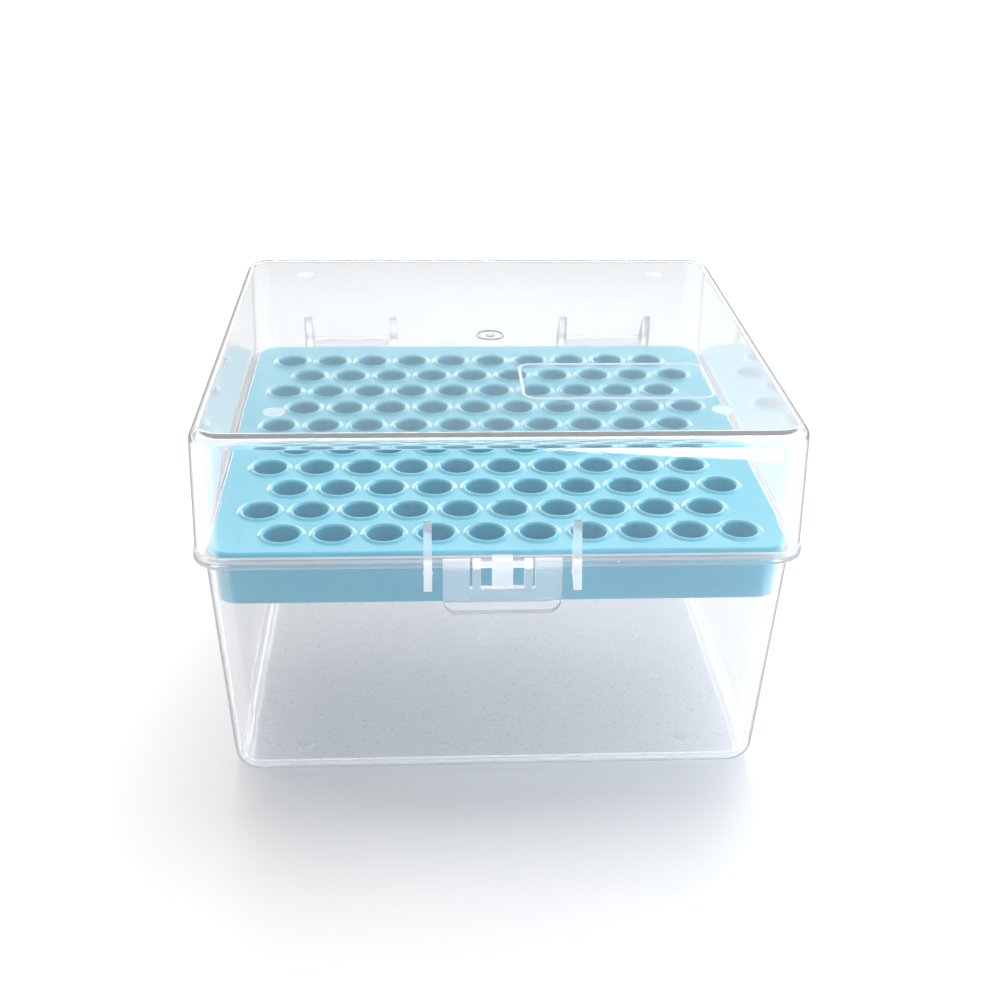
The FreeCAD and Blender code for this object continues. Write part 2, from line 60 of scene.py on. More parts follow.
LOG = logging.getLogger("tip_box")
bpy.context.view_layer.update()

Point = tuple[float, float]
Colour = tuple[float, float, float, float]


class Axis(Enum):
    """The direction that a slab is extruded along."""

    X = 0
    Y = 1
    Z = 2


class Blend(Enum):
    """How a tool solid changes the moulding it is applied to."""

    ADD = "UNION"
    CUT = "DIFFERENCE"


# ------------------------------------------------------------------ colour and nodes

def linear(code: str) -> Colour:
    """Turn an sRGB hex colour into the linear colour that the shaders want.

    Args:
        code: A colour such as "#7cc4d8".

    Returns:
        Linear red, green, blue and an alpha of one.
    """
    shares = [int(code[start:start + 2], 16) / 255 for start in (1, 3, 5)]
    bent = [s / 12.92 if s <= 0.04045 else ((s + 0.055) / 1.055) ** 2.4 for s in shares]
    return (*bent, 1.0)


def add_node(tree: bpy.types.NodeTree, kind: str, settings: dict | None = None,
             links: dict | None = None) -> bpy.types.Node:
    """Add a node with its settings and links.

    Args:
        tree: The node tree that takes the node.
        kind: The node's type, such as "ShaderNodeBump".
        settings: Attribute or input names with their values.
        links: Input names or numbers with the output sockets that feed them.

    Returns:
        The new node.
    """
    node = tree.nodes.new(kind)
    for name, value in (settings or {}).items():
        if isinstance(name, str) and hasattr(node, name):
            setattr(node, name, value)
        else:
            node.inputs[name].default_value = value
    for name, socket in (links or {}).items():
        tree.links.new(socket, node.inputs[name])
    return node


def new_material(name: str) -> tuple[bpy.types.Material, bpy.types.NodeTree]:
    """Start an empty node material.

    Args:
        name: The material's name.

    Returns:
        The material and its node tree.
    """
    material = bpy.data.materials.new(name)
    material.use_nodes = True
    material.node_tree.nodes.clear()
    return material, material.node_tree


@dataclass(frozen=True)
class ClearPolypropylene:
    """Clarified polypropylene, injection moulded in a polished tool.

    The eye sees clear walls with a slight milky veil, outlines that go grey where a wall
    is seen side on, light led into some edges and faint flow waves in the gloss. The
    grey outline is painted shade and the light in the edges is a painted glow, both added
    as emission, so they don't depend on the lamps.
    """

    name: str
    tint: str = "#fbfcfd"
    # painted shade: a grey glow on walls seen side on, standing in for their darker outlines
    painted_edge_shade: str = "#a9abb1"
    edge_start: float = 0.84  # how far side on the painted grey outline begins, from 0 to 1
    edge_span: float = 0.22
    edge_share: float = 0.75
    veil_colour: str = "#f4f4f6"
    veil: float = 0.045
    glow_share: float = 0.6  # part of the veil that lets light through
    # painted glow: emission in the veil's colour, standing in for light led into the plastic
    painted_glow: float = 0.0
    haze: float = 0.025
    haze_swing: float = 0.3
    shade: str = "#f0f1f3"  # colour of the light that passes into the shadow
    flow_mm: float = 22.0
    flow_depth_mm: float = 0.002
    grain_mm: float = 0.6

    def build(self) -> bpy.types.Material:
        """Make the material from refracting plastic, its veil, its painted glow and its painted grey
        outline.

        Returns:
            The material. A shadow ray passes it with the shade's colour.
        """
        material, tree = new_material(self.name)
        place = add_node(tree, "ShaderNodeTexCoord")
        flow = add_node(tree, "ShaderNodeTexNoise",
                        {"Scale": 1 / (self.flow_mm * MM), "Detail": 1.0, "Roughness": 0.3},
                        {"Vector": place.outputs["Object"]})
        waves = add_node(tree, "ShaderNodeBump",
                         {"Strength": 1.0, "Distance": self.flow_depth_mm * MM},
                         {"Height": flow.outputs["Fac"]})
        grain = add_node(tree, "ShaderNodeTexNoise",
                         {"Scale": 1 / (self.grain_mm * MM), "Detail": 3.0},
                         {"Vector": place.outputs["Object"]})
        matt = add_node(tree, "ShaderNodeMapRange",
                        {"To Min": self.haze * (1 - self.haze_swing),
                         "To Max": self.haze * (1 + self.haze_swing)},
                        {"Value": grain.outputs["Fac"]})
        side_on = add_node(tree, "ShaderNodeLayerWeight", {"Blend": 0.5})
        depth = add_node(tree, "ShaderNodeMapRange",
                         {"interpolation_type": "SMOOTHSTEP", "From Min": self.edge_start,
                          "From Max": self.edge_start + self.edge_span,
                          "To Max": self.edge_share},
                         {"Value": side_on.outputs["Facing"]})
        body = add_node(tree, "ShaderNodeBsdfPrincipled",
                        {"Base Color": linear(self.tint), "IOR": 1.49,
                         "Transmission Weight": 1.0},
                        {"Roughness": matt.outputs["Result"], "Normal": waves.outputs["Normal"]})
        milk = add_node(tree, "ShaderNodeBsdfDiffuse", {"Color": linear(self.veil_colour)})
        glow = add_node(tree, "ShaderNodeBsdfTranslucent", {"Color": linear(self.veil_colour)})
        cloud = add_node(tree, "ShaderNodeMixShader", {0: self.glow_share},
                         {1: milk.outputs["BSDF"], 2: glow.outputs["BSDF"]})
        # painted glow: emission in the veil's colour
        painted_glow = add_node(tree, "ShaderNodeEmission", {"Color": linear(self.veil_colour),
                                                      "Strength": self.painted_glow})
        veil = add_node(tree, "ShaderNodeAddShader", {},
                        {0: cloud.outputs["Shader"], 1: painted_glow.outputs["Emission"]})
        veiled = add_node(tree, "ShaderNodeMixShader", {0: self.veil},
                          {1: body.outputs["BSDF"], 2: veil.outputs["Shader"]})
        # painted shade: grey emission takes over where a wall is seen side on
        grey = add_node(tree, "ShaderNodeEmission", {"Color": linear(self.painted_edge_shade)})
        outlined = add_node(tree, "ShaderNodeMixShader", {},
                            {0: depth.outputs["Result"], 1: veiled.outputs["Shader"],
                             2: grey.outputs["Emission"]})
        passing = add_node(tree, "ShaderNodeBsdfTransparent", {"Color": linear(self.shade)})
        path = add_node(tree, "ShaderNodeLightPath")
        lit = add_node(tree, "ShaderNodeMixShader", {},
                       {0: path.outputs["Is Shadow Ray"], 1: outlined.outputs["Shader"],
                        2: passing.outputs["BSDF"]})
        add_node(tree, "ShaderNodeOutputMaterial", {}, {"Surface": lit.outputs["Shader"]})
        return material


@dataclass(frozen=True)
class BluePolypropylene:
    """Light blue filled polypropylene with a satin moulded skin.

    The eye sees an even blue body with soft highlights along its rounded edges and a
    faint orange peel.
    """

    name: str
    colour: str = "#52c0d8"
    deep: str = "#4cb8d0"
    roughness: float = 0.3
    roughness_swing: float = 0.05
    peel_mm: float = 1.2
    peel_depth_mm: float = 0.004
    cloud_mm: float = 35.0

    def build(self) -> bpy.types.Material:
        """Make the material with its cloudy colour and its peel.

        Returns:
            The material.
        """
        material, tree = new_material(self.name)
        place = add_node(tree, "ShaderNodeTexCoord")
        cloud = add_node(tree, "ShaderNodeTexNoise",
                         {"Scale": 1 / (self.cloud_mm * MM), "Detail": 3.0},
                         {"Vector": place.outputs["Object"]})
        colour = add_node(tree, "ShaderNodeMix",
                          {"data_type": "RGBA"}, {"Factor": cloud.outputs["Fac"]})
        colour.inputs[6].default_value = linear(self.deep)
        colour.inputs[7].default_value = linear(self.colour)
        peel = add_node(tree, "ShaderNodeTexNoise",
                        {"Scale": 1 / (self.peel_mm * MM), "Detail": 2.0},
                        {"Vector": place.outputs["Object"]})
        bump = add_node(tree, "ShaderNodeBump", {"Strength": 1.0, "Distance": self.peel_depth_mm * MM},
                        {"Height": peel.outputs["Fac"]})
        matt = add_node(tree, "ShaderNodeMapRange",
                        {"To Min": self.roughness - self.roughness_swing,
                         "To Max": self.roughness + self.roughness_swing},
                        {"Value": peel.outputs["Fac"]})
        skin = add_node(tree, "ShaderNodeBsdfPrincipled",
                        {"IOR": 1.49, "Coat Weight": 1.0, "Coat Roughness": 0.06,
                         "Subsurface Weight": 0.1,
                         "Subsurface Radius": (0.6, 1.0, 1.2), "Subsurface Scale": 1.0 * MM},
                        {"Base Color": colour.outputs[2], "Roughness": matt.outputs["Result"],
                         "Normal": bump.outputs["Normal"]})
        add_node(tree, "ShaderNodeOutputMaterial", {}, {"Surface": skin.outputs["BSDF"]})
        return material


@dataclass(frozen=True)
class StudioFloor:
    """White lacquered board: a soft mirror image near the box, plain white far away.

    The far white is a glow. Dark flags to both sides, in front and behind dim it for rays
    that don't come from the camera, so that the clear walls find something dark to show.
    """

    name: str = "studio_floor"
    colour: str = "#eef0f3"
    roughness: float = 0.14
    mirror: float = 0.5
    near_mm: float = 125.0
    far_mm: float = 360.0
    glow: float = 1.15
    bounce: float = 0.5  # strength of the white for diffuse rays
    side_mm: float = 250.0
    side_end: float = 1.6  # where a flag is full, as a multiple of where it starts
    front_mm: float = 125.0
    front_end: float = 1.5
    rear_mm: float = 480.0
    rear_end: float = 1.4
    flag: float = 0.15
    through: float = 0.38  # least level for rays that came through the plastic
    hidden_end: float = 1.2  # where the board in front is all glow, off camera

    def build(self) -> bpy.types.Material:
        """Make the glossy white that fades into an even white.

        Returns:
            The material.
        """
        material, tree = new_material(self.name)
        board = add_node(tree, "ShaderNodeBsdfPrincipled",
                         {"Base Color": linear(self.colour), "Roughness": self.roughness,
                          "IOR": 1.45, "Specular IOR Level": self.mirror})
        place = add_node(tree, "ShaderNodeTexCoord")
        away = add_node(tree, "ShaderNodeVectorMath", {"operation": "LENGTH"},
                        {0: place.outputs["Object"]})
        fade = add_node(tree, "ShaderNodeMapRange",
                        {"From Min": self.near_mm * MM, "From Max": self.far_mm * MM,
                         "interpolation_type": "SMOOTHSTEP"},
                        {"Value": away.outputs["Value"]})
        path = add_node(tree, "ShaderNodeLightPath")
        strength = add_node(tree, "ShaderNodeMapRange",
                            {"To Min": self.glow, "To Max": self.bounce},
                            {"Value": path.outputs["Is Diffuse Ray"]})
        part = add_node(tree, "ShaderNodeSeparateXYZ", {}, {0: place.outputs["Object"]})
        aside = add_node(tree, "ShaderNodeMath", {"operation": "ABSOLUTE"},
                         {0: part.outputs["X"]})
        flag = add_node(tree, "ShaderNodeMapRange",
                        {"From Min": self.side_mm * MM,
                         "From Max": self.side_end * self.side_mm * MM,
                         "To Min": 1.0, "To Max": self.flag},
                        {"Value": aside.outputs["Value"]})
        front = add_node(tree, "ShaderNodeMapRange",
                         {"From Min": -self.front_mm * MM,
                          "From Max": -self.front_end * self.front_mm * MM,
                          "To Min": 1.0, "To Max": self.flag},
                         {"Value": part.outputs["Y"]})
        rear = add_node(tree, "ShaderNodeMapRange",
                        {"From Min": self.rear_mm * MM,
                         "From Max": self.rear_end * self.rear_mm * MM,
                         "To Min": 1.0, "To Max": self.flag},
                        {"Value": part.outputs["Y"]})
        ends = add_node(tree, "ShaderNodeMath", {"operation": "MINIMUM"},
                        {0: rear.outputs["Result"], 1: front.outputs["Result"]})
        both = add_node(tree, "ShaderNodeMath", {"operation": "MINIMUM"},
                        {0: flag.outputs["Result"], 1: ends.outputs["Value"]})
        through = add_node(tree, "ShaderNodeMath", {"operation": "MULTIPLY", 1: self.through},
                           {0: path.outputs["Is Transmission Ray"]})
        plain = add_node(tree, "ShaderNodeMath", {"operation": "MAXIMUM"},
                         {0: through.outputs["Value"], 1: path.outputs["Is Camera Ray"]})
        level = add_node(tree, "ShaderNodeMath", {"operation": "MAXIMUM"},
                         {0: both.outputs["Value"], 1: plain.outputs["Value"]})
        power = add_node(tree, "ShaderNodeMath", {"operation": "MULTIPLY"},
                         {0: strength.outputs["Result"], 1: level.outputs["Value"]})
        white = add_node(tree, "ShaderNodeEmission", {"Color": linear("#ffffff")},
                         {"Strength": power.outputs["Value"]})
        off_camera = add_node(tree, "ShaderNodeMath",
                              {"operation": "SUBTRACT", "use_clamp": True, 0: 1.0},
                              {1: path.outputs["Is Camera Ray"]})
        ahead = add_node(tree, "ShaderNodeMapRange",
                         {"From Min": -self.front_mm * MM,
                          "From Max": -self.hidden_end * self.front_mm * MM},
                         {"Value": part.outputs["Y"]})
        hidden = add_node(tree, "ShaderNodeMath", {"operation": "MULTIPLY"},
                          {0: off_camera.outputs["Value"], 1: ahead.outputs["Result"]})
        share = add_node(tree, "ShaderNodeMath", {"operation": "MAXIMUM"},
                         {0: fade.outputs["Result"], 1: hidden.outputs["Value"]})
        mixed = add_node(tree, "ShaderNodeMixShader", {},
                         {0: share.outputs["Value"], 1: board.outputs["BSDF"],
                          2: white.outputs["Emission"]})
        add_node(tree, "ShaderNodeOutputMaterial", {}, {"Surface": mixed.outputs["Shader"]})
        return material


# ------------------------------------------------------------------ mesh helpers

def fillet(points: Sequence[tuple], steps: int = 6) -> list[Point]:
    """Round the corners of an open outline.

    Args:
        points: Corners as (a, b) or (a, b, radius); without a radius a corner is sharp.
        steps: Segments of each arc.

    Returns:
        The outline with each rounded corner as points on its arc.
    """
    outline: list[Point] = []
    for number, corner in enumerate(points):
        here = Vector(corner[:2])
        if len(corner) == 2:
            outline.append((here.x, here.y))
            continue
        radius = corner[2]
        before = (Vector(points[number - 1][:2]) - here).normalized()
        after = (Vector(points[(number + 1) % len(points)][:2]) - here).normalized()
        half = before.angle(after) / 2
        centre = here + (before + after).normalized() * radius / math.sin(half)
        first = here + before * radius / math.tan(half) - centre
        last = here + after * radius / math.tan(half) - centre
        turn = math.atan2(first.x * last.y - first.y * last.x, first.dot(last))
        for step in range(steps + 1):
            angle = turn * step / steps
            spun = Vector((first.x * math.cos(angle) - first.y * math.sin(angle),
                           first.x * math.sin(angle) + first.y * math.cos(angle)))
            outline.append(tuple(centre + spun))
    return outline


def arc(centre: Point, radius: float, start: float, end: float, steps: int = 10) -> list[Point]:
    """Give the points of an arc.

    Args:
        centre: The arc's centre.
        radius: Its radius.
        start: The angle of its first point, in degrees.
        end: The angle of its last point, in degrees.
        steps: Its segments.

    Returns:
        The points, with both ends.
    """
    angles = [math.radians(start + (end - start) * k / steps) for k in range(steps + 1)]
    return [(centre[0] + radius * math.cos(a), centre[1] + radius * math.sin(a))
            for a in angles]


@dataclass(frozen=True)
class Station:
    """One level of a loft: a rounded rectangle inset from the rims."""

    inset: float
    z: float
    corner: float


def stations(outline: Iterable[Point], corner: Callable[[float, float], float]
             ) -> list[Station]:
    """Give each (inset, z) point of an outline its corner radius in plan.

    Args:
        outline: Points from the outline of a wall.
        corner: The corner radius for an inset and a height.

    Returns:
        The stations of a loft, none with a corner under a tenth of a millimetre.
    """
    return [Station(inset, z, max(corner(inset, z), 0.1)) for inset, z in outline]


@dataclass
class Moulding:
    """A mesh in the making, with the operators that the pieces share."""

    name: str
    bm: bmesh.types.BMesh = field(default_factory=bmesh.new)

    def ring(self, half: Point, level: Station, steps: int, middle: Point
             ) -> bmesh.types.BMFace:
        """Add a flat rounded rectangle, made by bevelling the corners of a rectangle.

        Args:
            half: Half sizes of the rectangle with no inset.
            level: Its inset, height and corner radius.
            steps: Segments of each corner.
            middle: Where its middle lies.

        Returns:
            The new face.
        """
        bm = self.bm
        made = bmesh.ops.create_grid(bm, x_segments=1, y_segments=1, size=1.0)["verts"]
        for vert in made:
            vert.co = Vector(((vert.co.x * (half[0] - level.inset) + middle[0]) * MM,
                              (vert.co.y * (half[1] - level.inset) + middle[1]) * MM,
                              level.z * MM))
        before = set(bm.faces)
        bmesh.ops.bevel(bm, geom=made, offset=level.corner * MM, segments=steps, profile=0.5,
                        affect="VERTICES", material=-1)
        return next(face for face in bm.faces if face not in before)

    def extend(self, edges: Sequence[bmesh.types.BMEdge],
               place: Callable[[Vector], Vector]) -> list[bmesh.types.BMEdge]:
        """Extrude a loop of edges and put each new vertex where the function says.

        Args:
            edges: The loop.
            place: Turns the old place of a vertex, in millimetres, into its new one.

        Returns:
            The new loop.
        """
        moved = bmesh.ops.extrude_edge_only(self.bm, edges=edges)["geom"]
        for vert in moved:
            if isinstance(vert, bmesh.types.BMVert):
                vert.co = place(vert.co / MM) * MM
        return [edge for edge in moved if isinstance(edge, bmesh.types.BMEdge)]

    def loft(self, levels: Sequence[Station], half: Point, steps: int = 10,
             capped: bool = True, middle: Point = (0.0, 0.0)) -> None:
        """Skin a row of rounded rectangles.

        Args:
            levels: The rectangles in order, the first and last one being caps.
            half: Half sizes of the rectangle with no inset.
            steps: Segments of each corner.
            capped: Whether the first and the last rectangle are closed with faces.
            middle: Where the rectangles' middle lies.
        """
        face = self.ring(half, levels[0], steps, middle)
        edges = list(face.edges)
        if not capped:
            bmesh.ops.delete(self.bm, geom=[face], context="FACES_ONLY")
        for old, new in zip(levels, levels[1:]):

            def place(spot: Vector) -> Vector:
                """Carry a vertex to the same spot of the new rectangle.

                Args:
                    spot: Its place on the old rectangle.

                Returns:
                    Its place on the new one.
                """
                goal = [0.0, 0.0]
                lean = Vector((0.0, 0.0))
                signs = [math.copysign(1, spot[k] - middle[k]) for k in (0, 1)]
                for k in (0, 1):
                    core = middle[k] + signs[k] * (half[k] - old.inset - old.corner)
                    lean[k] = spot[k] - core
                    goal[k] = middle[k] + signs[k] * (half[k] - new.inset - new.corner)
                lean.normalize()
                return Vector((goal[0] + lean.x * new.corner, goal[1] + lean.y * new.corner,
                               new.z))

            edges = self.extend(edges, place)
        if capped:
            bmesh.ops.contextual_create(self.bm, geom=edges)

    def slab(self, outline: Sequence[Point], start: float, length: float,
             axis: Axis = Axis.X) -> None:
        """Extrude a closed outline along an axis.

        Args:
            outline: Points as (y, z) for X, (x, z) for Y or (x, y) for Z.
            start: Where the slab starts on the axis.
            length: How far it goes.
            axis: The axis.
        """
        bm = self.bm
        place = {Axis.X: lambda a, b: (start, a, b), Axis.Y: lambda a, b: (a, start, b),
                 Axis.Z: lambda a, b: (a, b, start)}[axis]
        verts = [bm.verts.new(Vector(place(a, b)) * MM) for a, b in outline]
        face = bm.faces.new(verts)
        moved = bmesh.ops.extrude_face_region(bm, geom=[face])["geom"]
        step = Vector((0, 0, 0))
        step[axis.value] = length * MM
        bmesh.ops.translate(bm, vec=step,
                            verts=[g for g in moved if isinstance(g, bmesh.types.BMVert)])
        bmesh.ops.recalc_face_normals(bm, faces=bm.faces)

    def rod(self, centre: Sequence[float], radius: float, length: float,
            axis: Axis = Axis.X, segments: int = 32) -> None:
        """Add a round rod.

        Args:
            centre: The middle of the rod.
            radius: Its radius.
            length: Its length.
            axis: The direction of its length.
            segments: Its sides.
        """
        turn = {Axis.X: Matrix.Rotation(math.pi / 2, 4, "Y"),
                Axis.Y: Matrix.Rotation(math.pi / 2, 4, "X"), Axis.Z: Matrix.Identity(4)}
        bmesh.ops.create_cone(self.bm, cap_ends=True, segments=segments,
                              radius1=radius * MM, radius2=radius * MM, depth=length * MM,
                              matrix=Matrix.Translation(Vector(centre) * MM) @ turn[axis])

    def soften(self, width: float, angle: float = 40.0, segments: int = 2,
               chosen: Callable[[bmesh.types.BMEdge], bool] | None = None) -> None:
        """Bevel the sharp edges.

        Args:
            width: The bevel's width.
            angle: Only edges sharper than this angle in degrees are bevelled.
            segments: Segments of the bevel.
            chosen: Picks edges among them, or None for all.
        """
        bm = self.bm
        bmesh.ops.recalc_face_normals(bm, faces=bm.faces)
        sharp = [e for e in bm.edges
                 if len(e.link_faces) == 2 and e.calc_face_angle(0) > math.radians(angle)
                 and (chosen is None or chosen(e))]
        bmesh.ops.bevel(bm, geom=sharp, offset=width * MM, segments=segments, profile=0.5,
                        affect="EDGES", clamp_overlap=True, material=-1)

    def mirrored(self) -> "Moulding":
        """Copy this mesh to the other side of the box.

        Returns:
            The copy.
        """
        other = Moulding(self.name, self.bm.copy())
        bmesh.ops.scale(other.bm, vec=(-1, 1, 1), verts=other.bm.verts)
        bmesh.ops.reverse_faces(other.bm, faces=other.bm.faces)
        return other

    def blend(self, tools: Iterable["Moulding"], how: Blend) -> None:
        """Add the tools to this closed mesh or cut them out of it.

        Args:
            tools: Closed meshes, which are used up.
            how: Whether they add or cut.
        """
        scene = bpy.context.scene
        holders = []
        for tool in (self, *tools):
            mesh = bpy.data.meshes.new(tool.name)
            bmesh.ops.recalc_face_normals(tool.bm, faces=tool.bm.faces)
            tool.bm.to_mesh(mesh)
            holder = bpy.data.objects.new(tool.name, mesh)
            scene.collection.objects.link(holder)
            holders.append(holder)
            if tool is not self:
                tool.bm.free()
        for tool in holders[1:]:
            step = holders[0].modifiers.new(tool.name, "BOOLEAN")
            step.operation = how.value
            step.solver = "EXACT"
            step.object = tool
        graph = bpy.context.evaluated_depsgraph_get()
        result = bpy.data.meshes.new_from_object(holders[0].evaluated_get(graph))
        self.bm.clear()
        self.bm.from_mesh(result)
        bpy.data.meshes.remove(result)
        for holder in holders:
            mesh = holder.data
            bpy.data.objects.remove(holder)
            bpy.data.meshes.remove(mesh)

    def finish(self, materials: Sequence[bpy.types.Material], body: str, slot: str,
               sharp: float = 35.0,
               pick: Callable[[Vector], int] | None = None) -> bpy.types.Object:
        """Turn the mesh into a dressed object that rides on its body.

        Args:
            materials: The finishes of the piece, the first one being its main one.
            body: The CAD body it moves with.
            slot: The record's material slot; not used.
            sharp: Edges sharper than this angle in degrees stay sharp.
            pick: Which finish a face takes, by its centre in millimetres.

        Returns:
            The new object.
        """
        bm = self.bm
        bmesh.ops.remove_doubles(bm, verts=bm.verts, dist=0.001 * MM)
        bmesh.ops.dissolve_degenerate(bm, edges=bm.edges, dist=0.0005 * MM)
        bmesh.ops.recalc_face_normals(bm, faces=bm.faces)
        for face in bm.faces:
            face.smooth = True
            if pick is not None:
                face.material_index = pick(face.calc_center_median() / MM)
        mesh = bpy.data.meshes.new(self.name)
        bm.to_mesh(mesh)
        bm.free()
        mesh.set_sharp_from_angle(angle=math.radians(sharp))
        piece = bpy.data.objects.new(self.name, mesh)
        bpy.context.scene.collection.objects.link(piece)
        for material in materials:
            mesh.materials.append(material)
        even = piece.modifiers.new("flat_faces_stay_flat", "WEIGHTED_NORMAL")
        even.keep_sharp = True
        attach(piece, body)
        LOG.info("%s: %d faces on body %s", self.name, len(mesh.polygons), body)
        return piece


# ------------------------------------------------------------------ the box

@dataclass
class BoxSizes:
    """Sizes that the sub-assemblies share; the outer ones come from the frame."""

    lid_step: float = 0.35
    wall: float = 1.5
    tub_flange: float = 1.3
    tub_draft: float = 3.0
    tub_proud: float = 2.1
    lid_draft: float = 1.25
    tub_corner: float = 6.5
    lid_corner: float = 7.0
    lid_height: float = 28.0
    pin: float = 2.4
    half: Point = field(init=False)
    parting: float = field(init=False)
    top: float = field(init=False)
    hinge: Point = field(init=False)
    axle: Point = field(init=False)

    def __post_init__(self) -> None:
        """Read the rims' half sizes, the parting plane and both axes from the frame."""
        low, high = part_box("base_tub")
        joints = {joint["name"]: joint["pos_m"] for joint in frame["joints"]}
        self.half = (high.x / MM, -low.y / MM)
        self.parting = joints["lid_hinge"][2] / MM
        self.top = self.parting + self.lid_height
        self.hinge = tuple(v / MM for v in joints["lid_hinge"][1:])
        self.axle = tuple(v / MM for v in joints["latch_pivot"][1:])

    @property
    def rim_corner(self) -> float:
        """Corner radius of both rims."""
        return self.lid_corner + self.lid_step

    def at_corner(self, spot: Vector) -> bool:
        """Tell whether a face lies on one of the box's rounded uprights.

        Args:
            spot: The centre of the face.

        Returns:
            True on an upright.
        """
        inset = (self.tub_inset(spot.z) if spot.z < self.parting
                 else self.lid_inset(spot.z)) + 0.85 * self.tub_corner
        return all(abs(spot[k]) > self.half[k] - inset for k in (0, 1))

    def tub_inset(self, z: float) -> float:
        """How far the tub's outer wall lies inside the rim at a height."""
        return self.tub_proud + (self.parting - z) * math.tan(math.radians(self.tub_draft))

    def lid_inset(self, z: float) -> float:
        """How far the lid's outer wall lies inside the rim at a height."""
        return self.lid_step + (z - self.parting) * math.tan(math.radians(self.lid_draft))


def pin_mark(name: str, x: float, y: float, z: float, height: float = 0.4,
             width: float = 4.5) -> Moulding:
    """Make the low round pad that an ejector pin leaves inside a moulding.

    Args:
        name: The pad's name.
        x: Where its middle lies, to the right.
        y: Where its middle lies, to the rear.
        z: The height of its middle.
        height: Its thickness.
        width: Its diameter.

    Returns:
        The closed pad.
    """
    mark = Moulding(name)
    mark.rod((x, y, z), width / 2, height, Axis.Z, 40)
    mark.soften(0.06, chosen=lambda e: True)
    return mark


@dataclass
class Tub:
    """The lower shell with its rim flange, hinge hooks and moulding marks."""

    box: BoxSizes
    foot_round: float = 4.0
    hook_wall: float = 1.35
    hook_gap: float = 0.05
    hook_length: float = 20.9
    hook_mouth: float = 1.9
    hook_place: float = 36.25
    marks: tuple[Point, ...] = ((-44.0, -47.6), (44.0, -47.6), (-47.0, 47.6), (47.0, 47.6),
                                (0.0, -4.0))

    def shell(self) -> Moulding:
        """Loft the drafted shell with its flange.

        Returns:
            The closed shell.
        """
        box = self.box
        wall, flange = box.wall, box.parting - box.tub_flange
        outer = fillet([(20, 0), (box.tub_inset(0), 0, self.foot_round),
                        (box.tub_inset(flange), flange, 0.5), (0.6, flange)], 8)
        rim = fillet([(0.6, flange), (0, flange, 0.3), (0, box.parting, 0.2),
                      (1.2, box.parting)], 3)
        inner = fillet([(1.4, box.parting), (box.tub_inset(box.parting) + wall, box.parting, 0.3),
                        (box.tub_inset(wall) + wall, wall, self.foot_round - wall),
                        (20, wall)], 8)
        levels = stations(outer, lambda i, z: box.tub_corner - (i - box.tub_inset(z)))
        levels += stations(rim[1:], lambda i, z: box.rim_corner - i)
        levels += stations(inner, lambda i, z: box.tub_corner - (i - box.tub_inset(z)))
        shell = Moulding("tub_shell")
        shell.loft(levels, box.half)
        return shell

    def hook(self) -> Moulding:
        """Make one hinge hook, open downwards.

        Returns:
            The hook on the right.
        """
        box = self.box
        y, z = box.hinge
        inner = box.pin / 2 + self.hook_gap
        outer = inner + self.hook_wall
        lean_in = math.degrees(math.asin(self.hook_mouth / 2 / inner))
        lean_out = math.degrees(math.asin(self.hook_mouth / 2 / outer))
        low = math.degrees(math.asin(box.tub_flange / outer))
        root = box.half[1] - box.tub_proud / 2
        points = [(root, z), *arc((y, z), outer, 180, lean_out - 90, 16),
                  *arc((y, z), inner, lean_in - 90, 270 - lean_in, 16),
                  *arc((y, z), outer, 270 - lean_out, 180 + low, 3),
                  (root, z - box.tub_flange)]
        hook = Moulding("hook")
        hook.slab(points, self.hook_place - self.hook_length / 2, self.hook_length)
        hook.soften(0.12, 50)
        return hook

    def on_line(self, spot: Vector) -> bool:
        """Tell whether a face lies where the inner fillet begins or ends, where bright lines are
        painted.

        Args:
            spot: The centre of the face.

        Returns:
            True on such a line.
        """
        box, inner = self.box, self.foot_round - self.box.wall
        inset = box.tub_inset(spot.z) + box.wall
        depth = min(box.half[k] - inset - abs(spot[k]) for k in (0, 1))
        up = spot.z - box.wall
        return (0.02 < up < 0.08 * inner and depth > 0.4 * inner
                or 0.78 * inner < up < 0.98 * inner and 0.0 < depth < 0.3 * inner)

    def finish_of(self, spot: Vector) -> int:
        """Pick the finish of a face.

        Args:
            spot: The centre of the face.

        Returns:
            0 for the walls and hooks, 1 for the rim, foot and corners with a painted glow and a
            wider painted grey outline, 2 for the satin floor and 3 for painted bright lines in milky
            glowing plastic where the inner fillet begins and ends.
        """
        # The rim, foot and corners get a painted glow and a painted grey outline.
        if spot.z > self.box.parting - self.box.tub_flange and spot.y < self.box.half[1] + 0.1:
            return 1
        # painted bright lines along the ends of the inner fillet
        if self.on_line(spot):
            return 3
        if 0.05 < spot.z < self.foot_round and abs(spot.z - self.box.wall) > 0.45:
            return 1
        if self.box.wall - 0.02 < spot.z < self.box.wall + 0.02:
            return 2
        return 1 if self.box.at_corner(spot) else 0

    def build(self, finishes: Sequence[bpy.types.Material]) -> None:
        """Build and dress the tub.

        Args:
            finishes: Natural plastic, plastic with a painted glow and painted grey outline, satin
                plastic and milky plastic with a painted glow.
        """
        shell, hook = self.shell(), self.hook()
        other = hook.mirrored()
        shell.blend([hook, other], Blend.ADD)
        marks = [pin_mark(f"floor_mark_{n}", x, y, self.box.wall + 0.02)
                 for n, (x, y) in enumerate(self.marks)]
        shell.blend(marks, Blend.ADD)
        piece = shell.finish(finishes, "base", "clear_tub", pick=self.finish_of)
        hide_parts("base_tub")


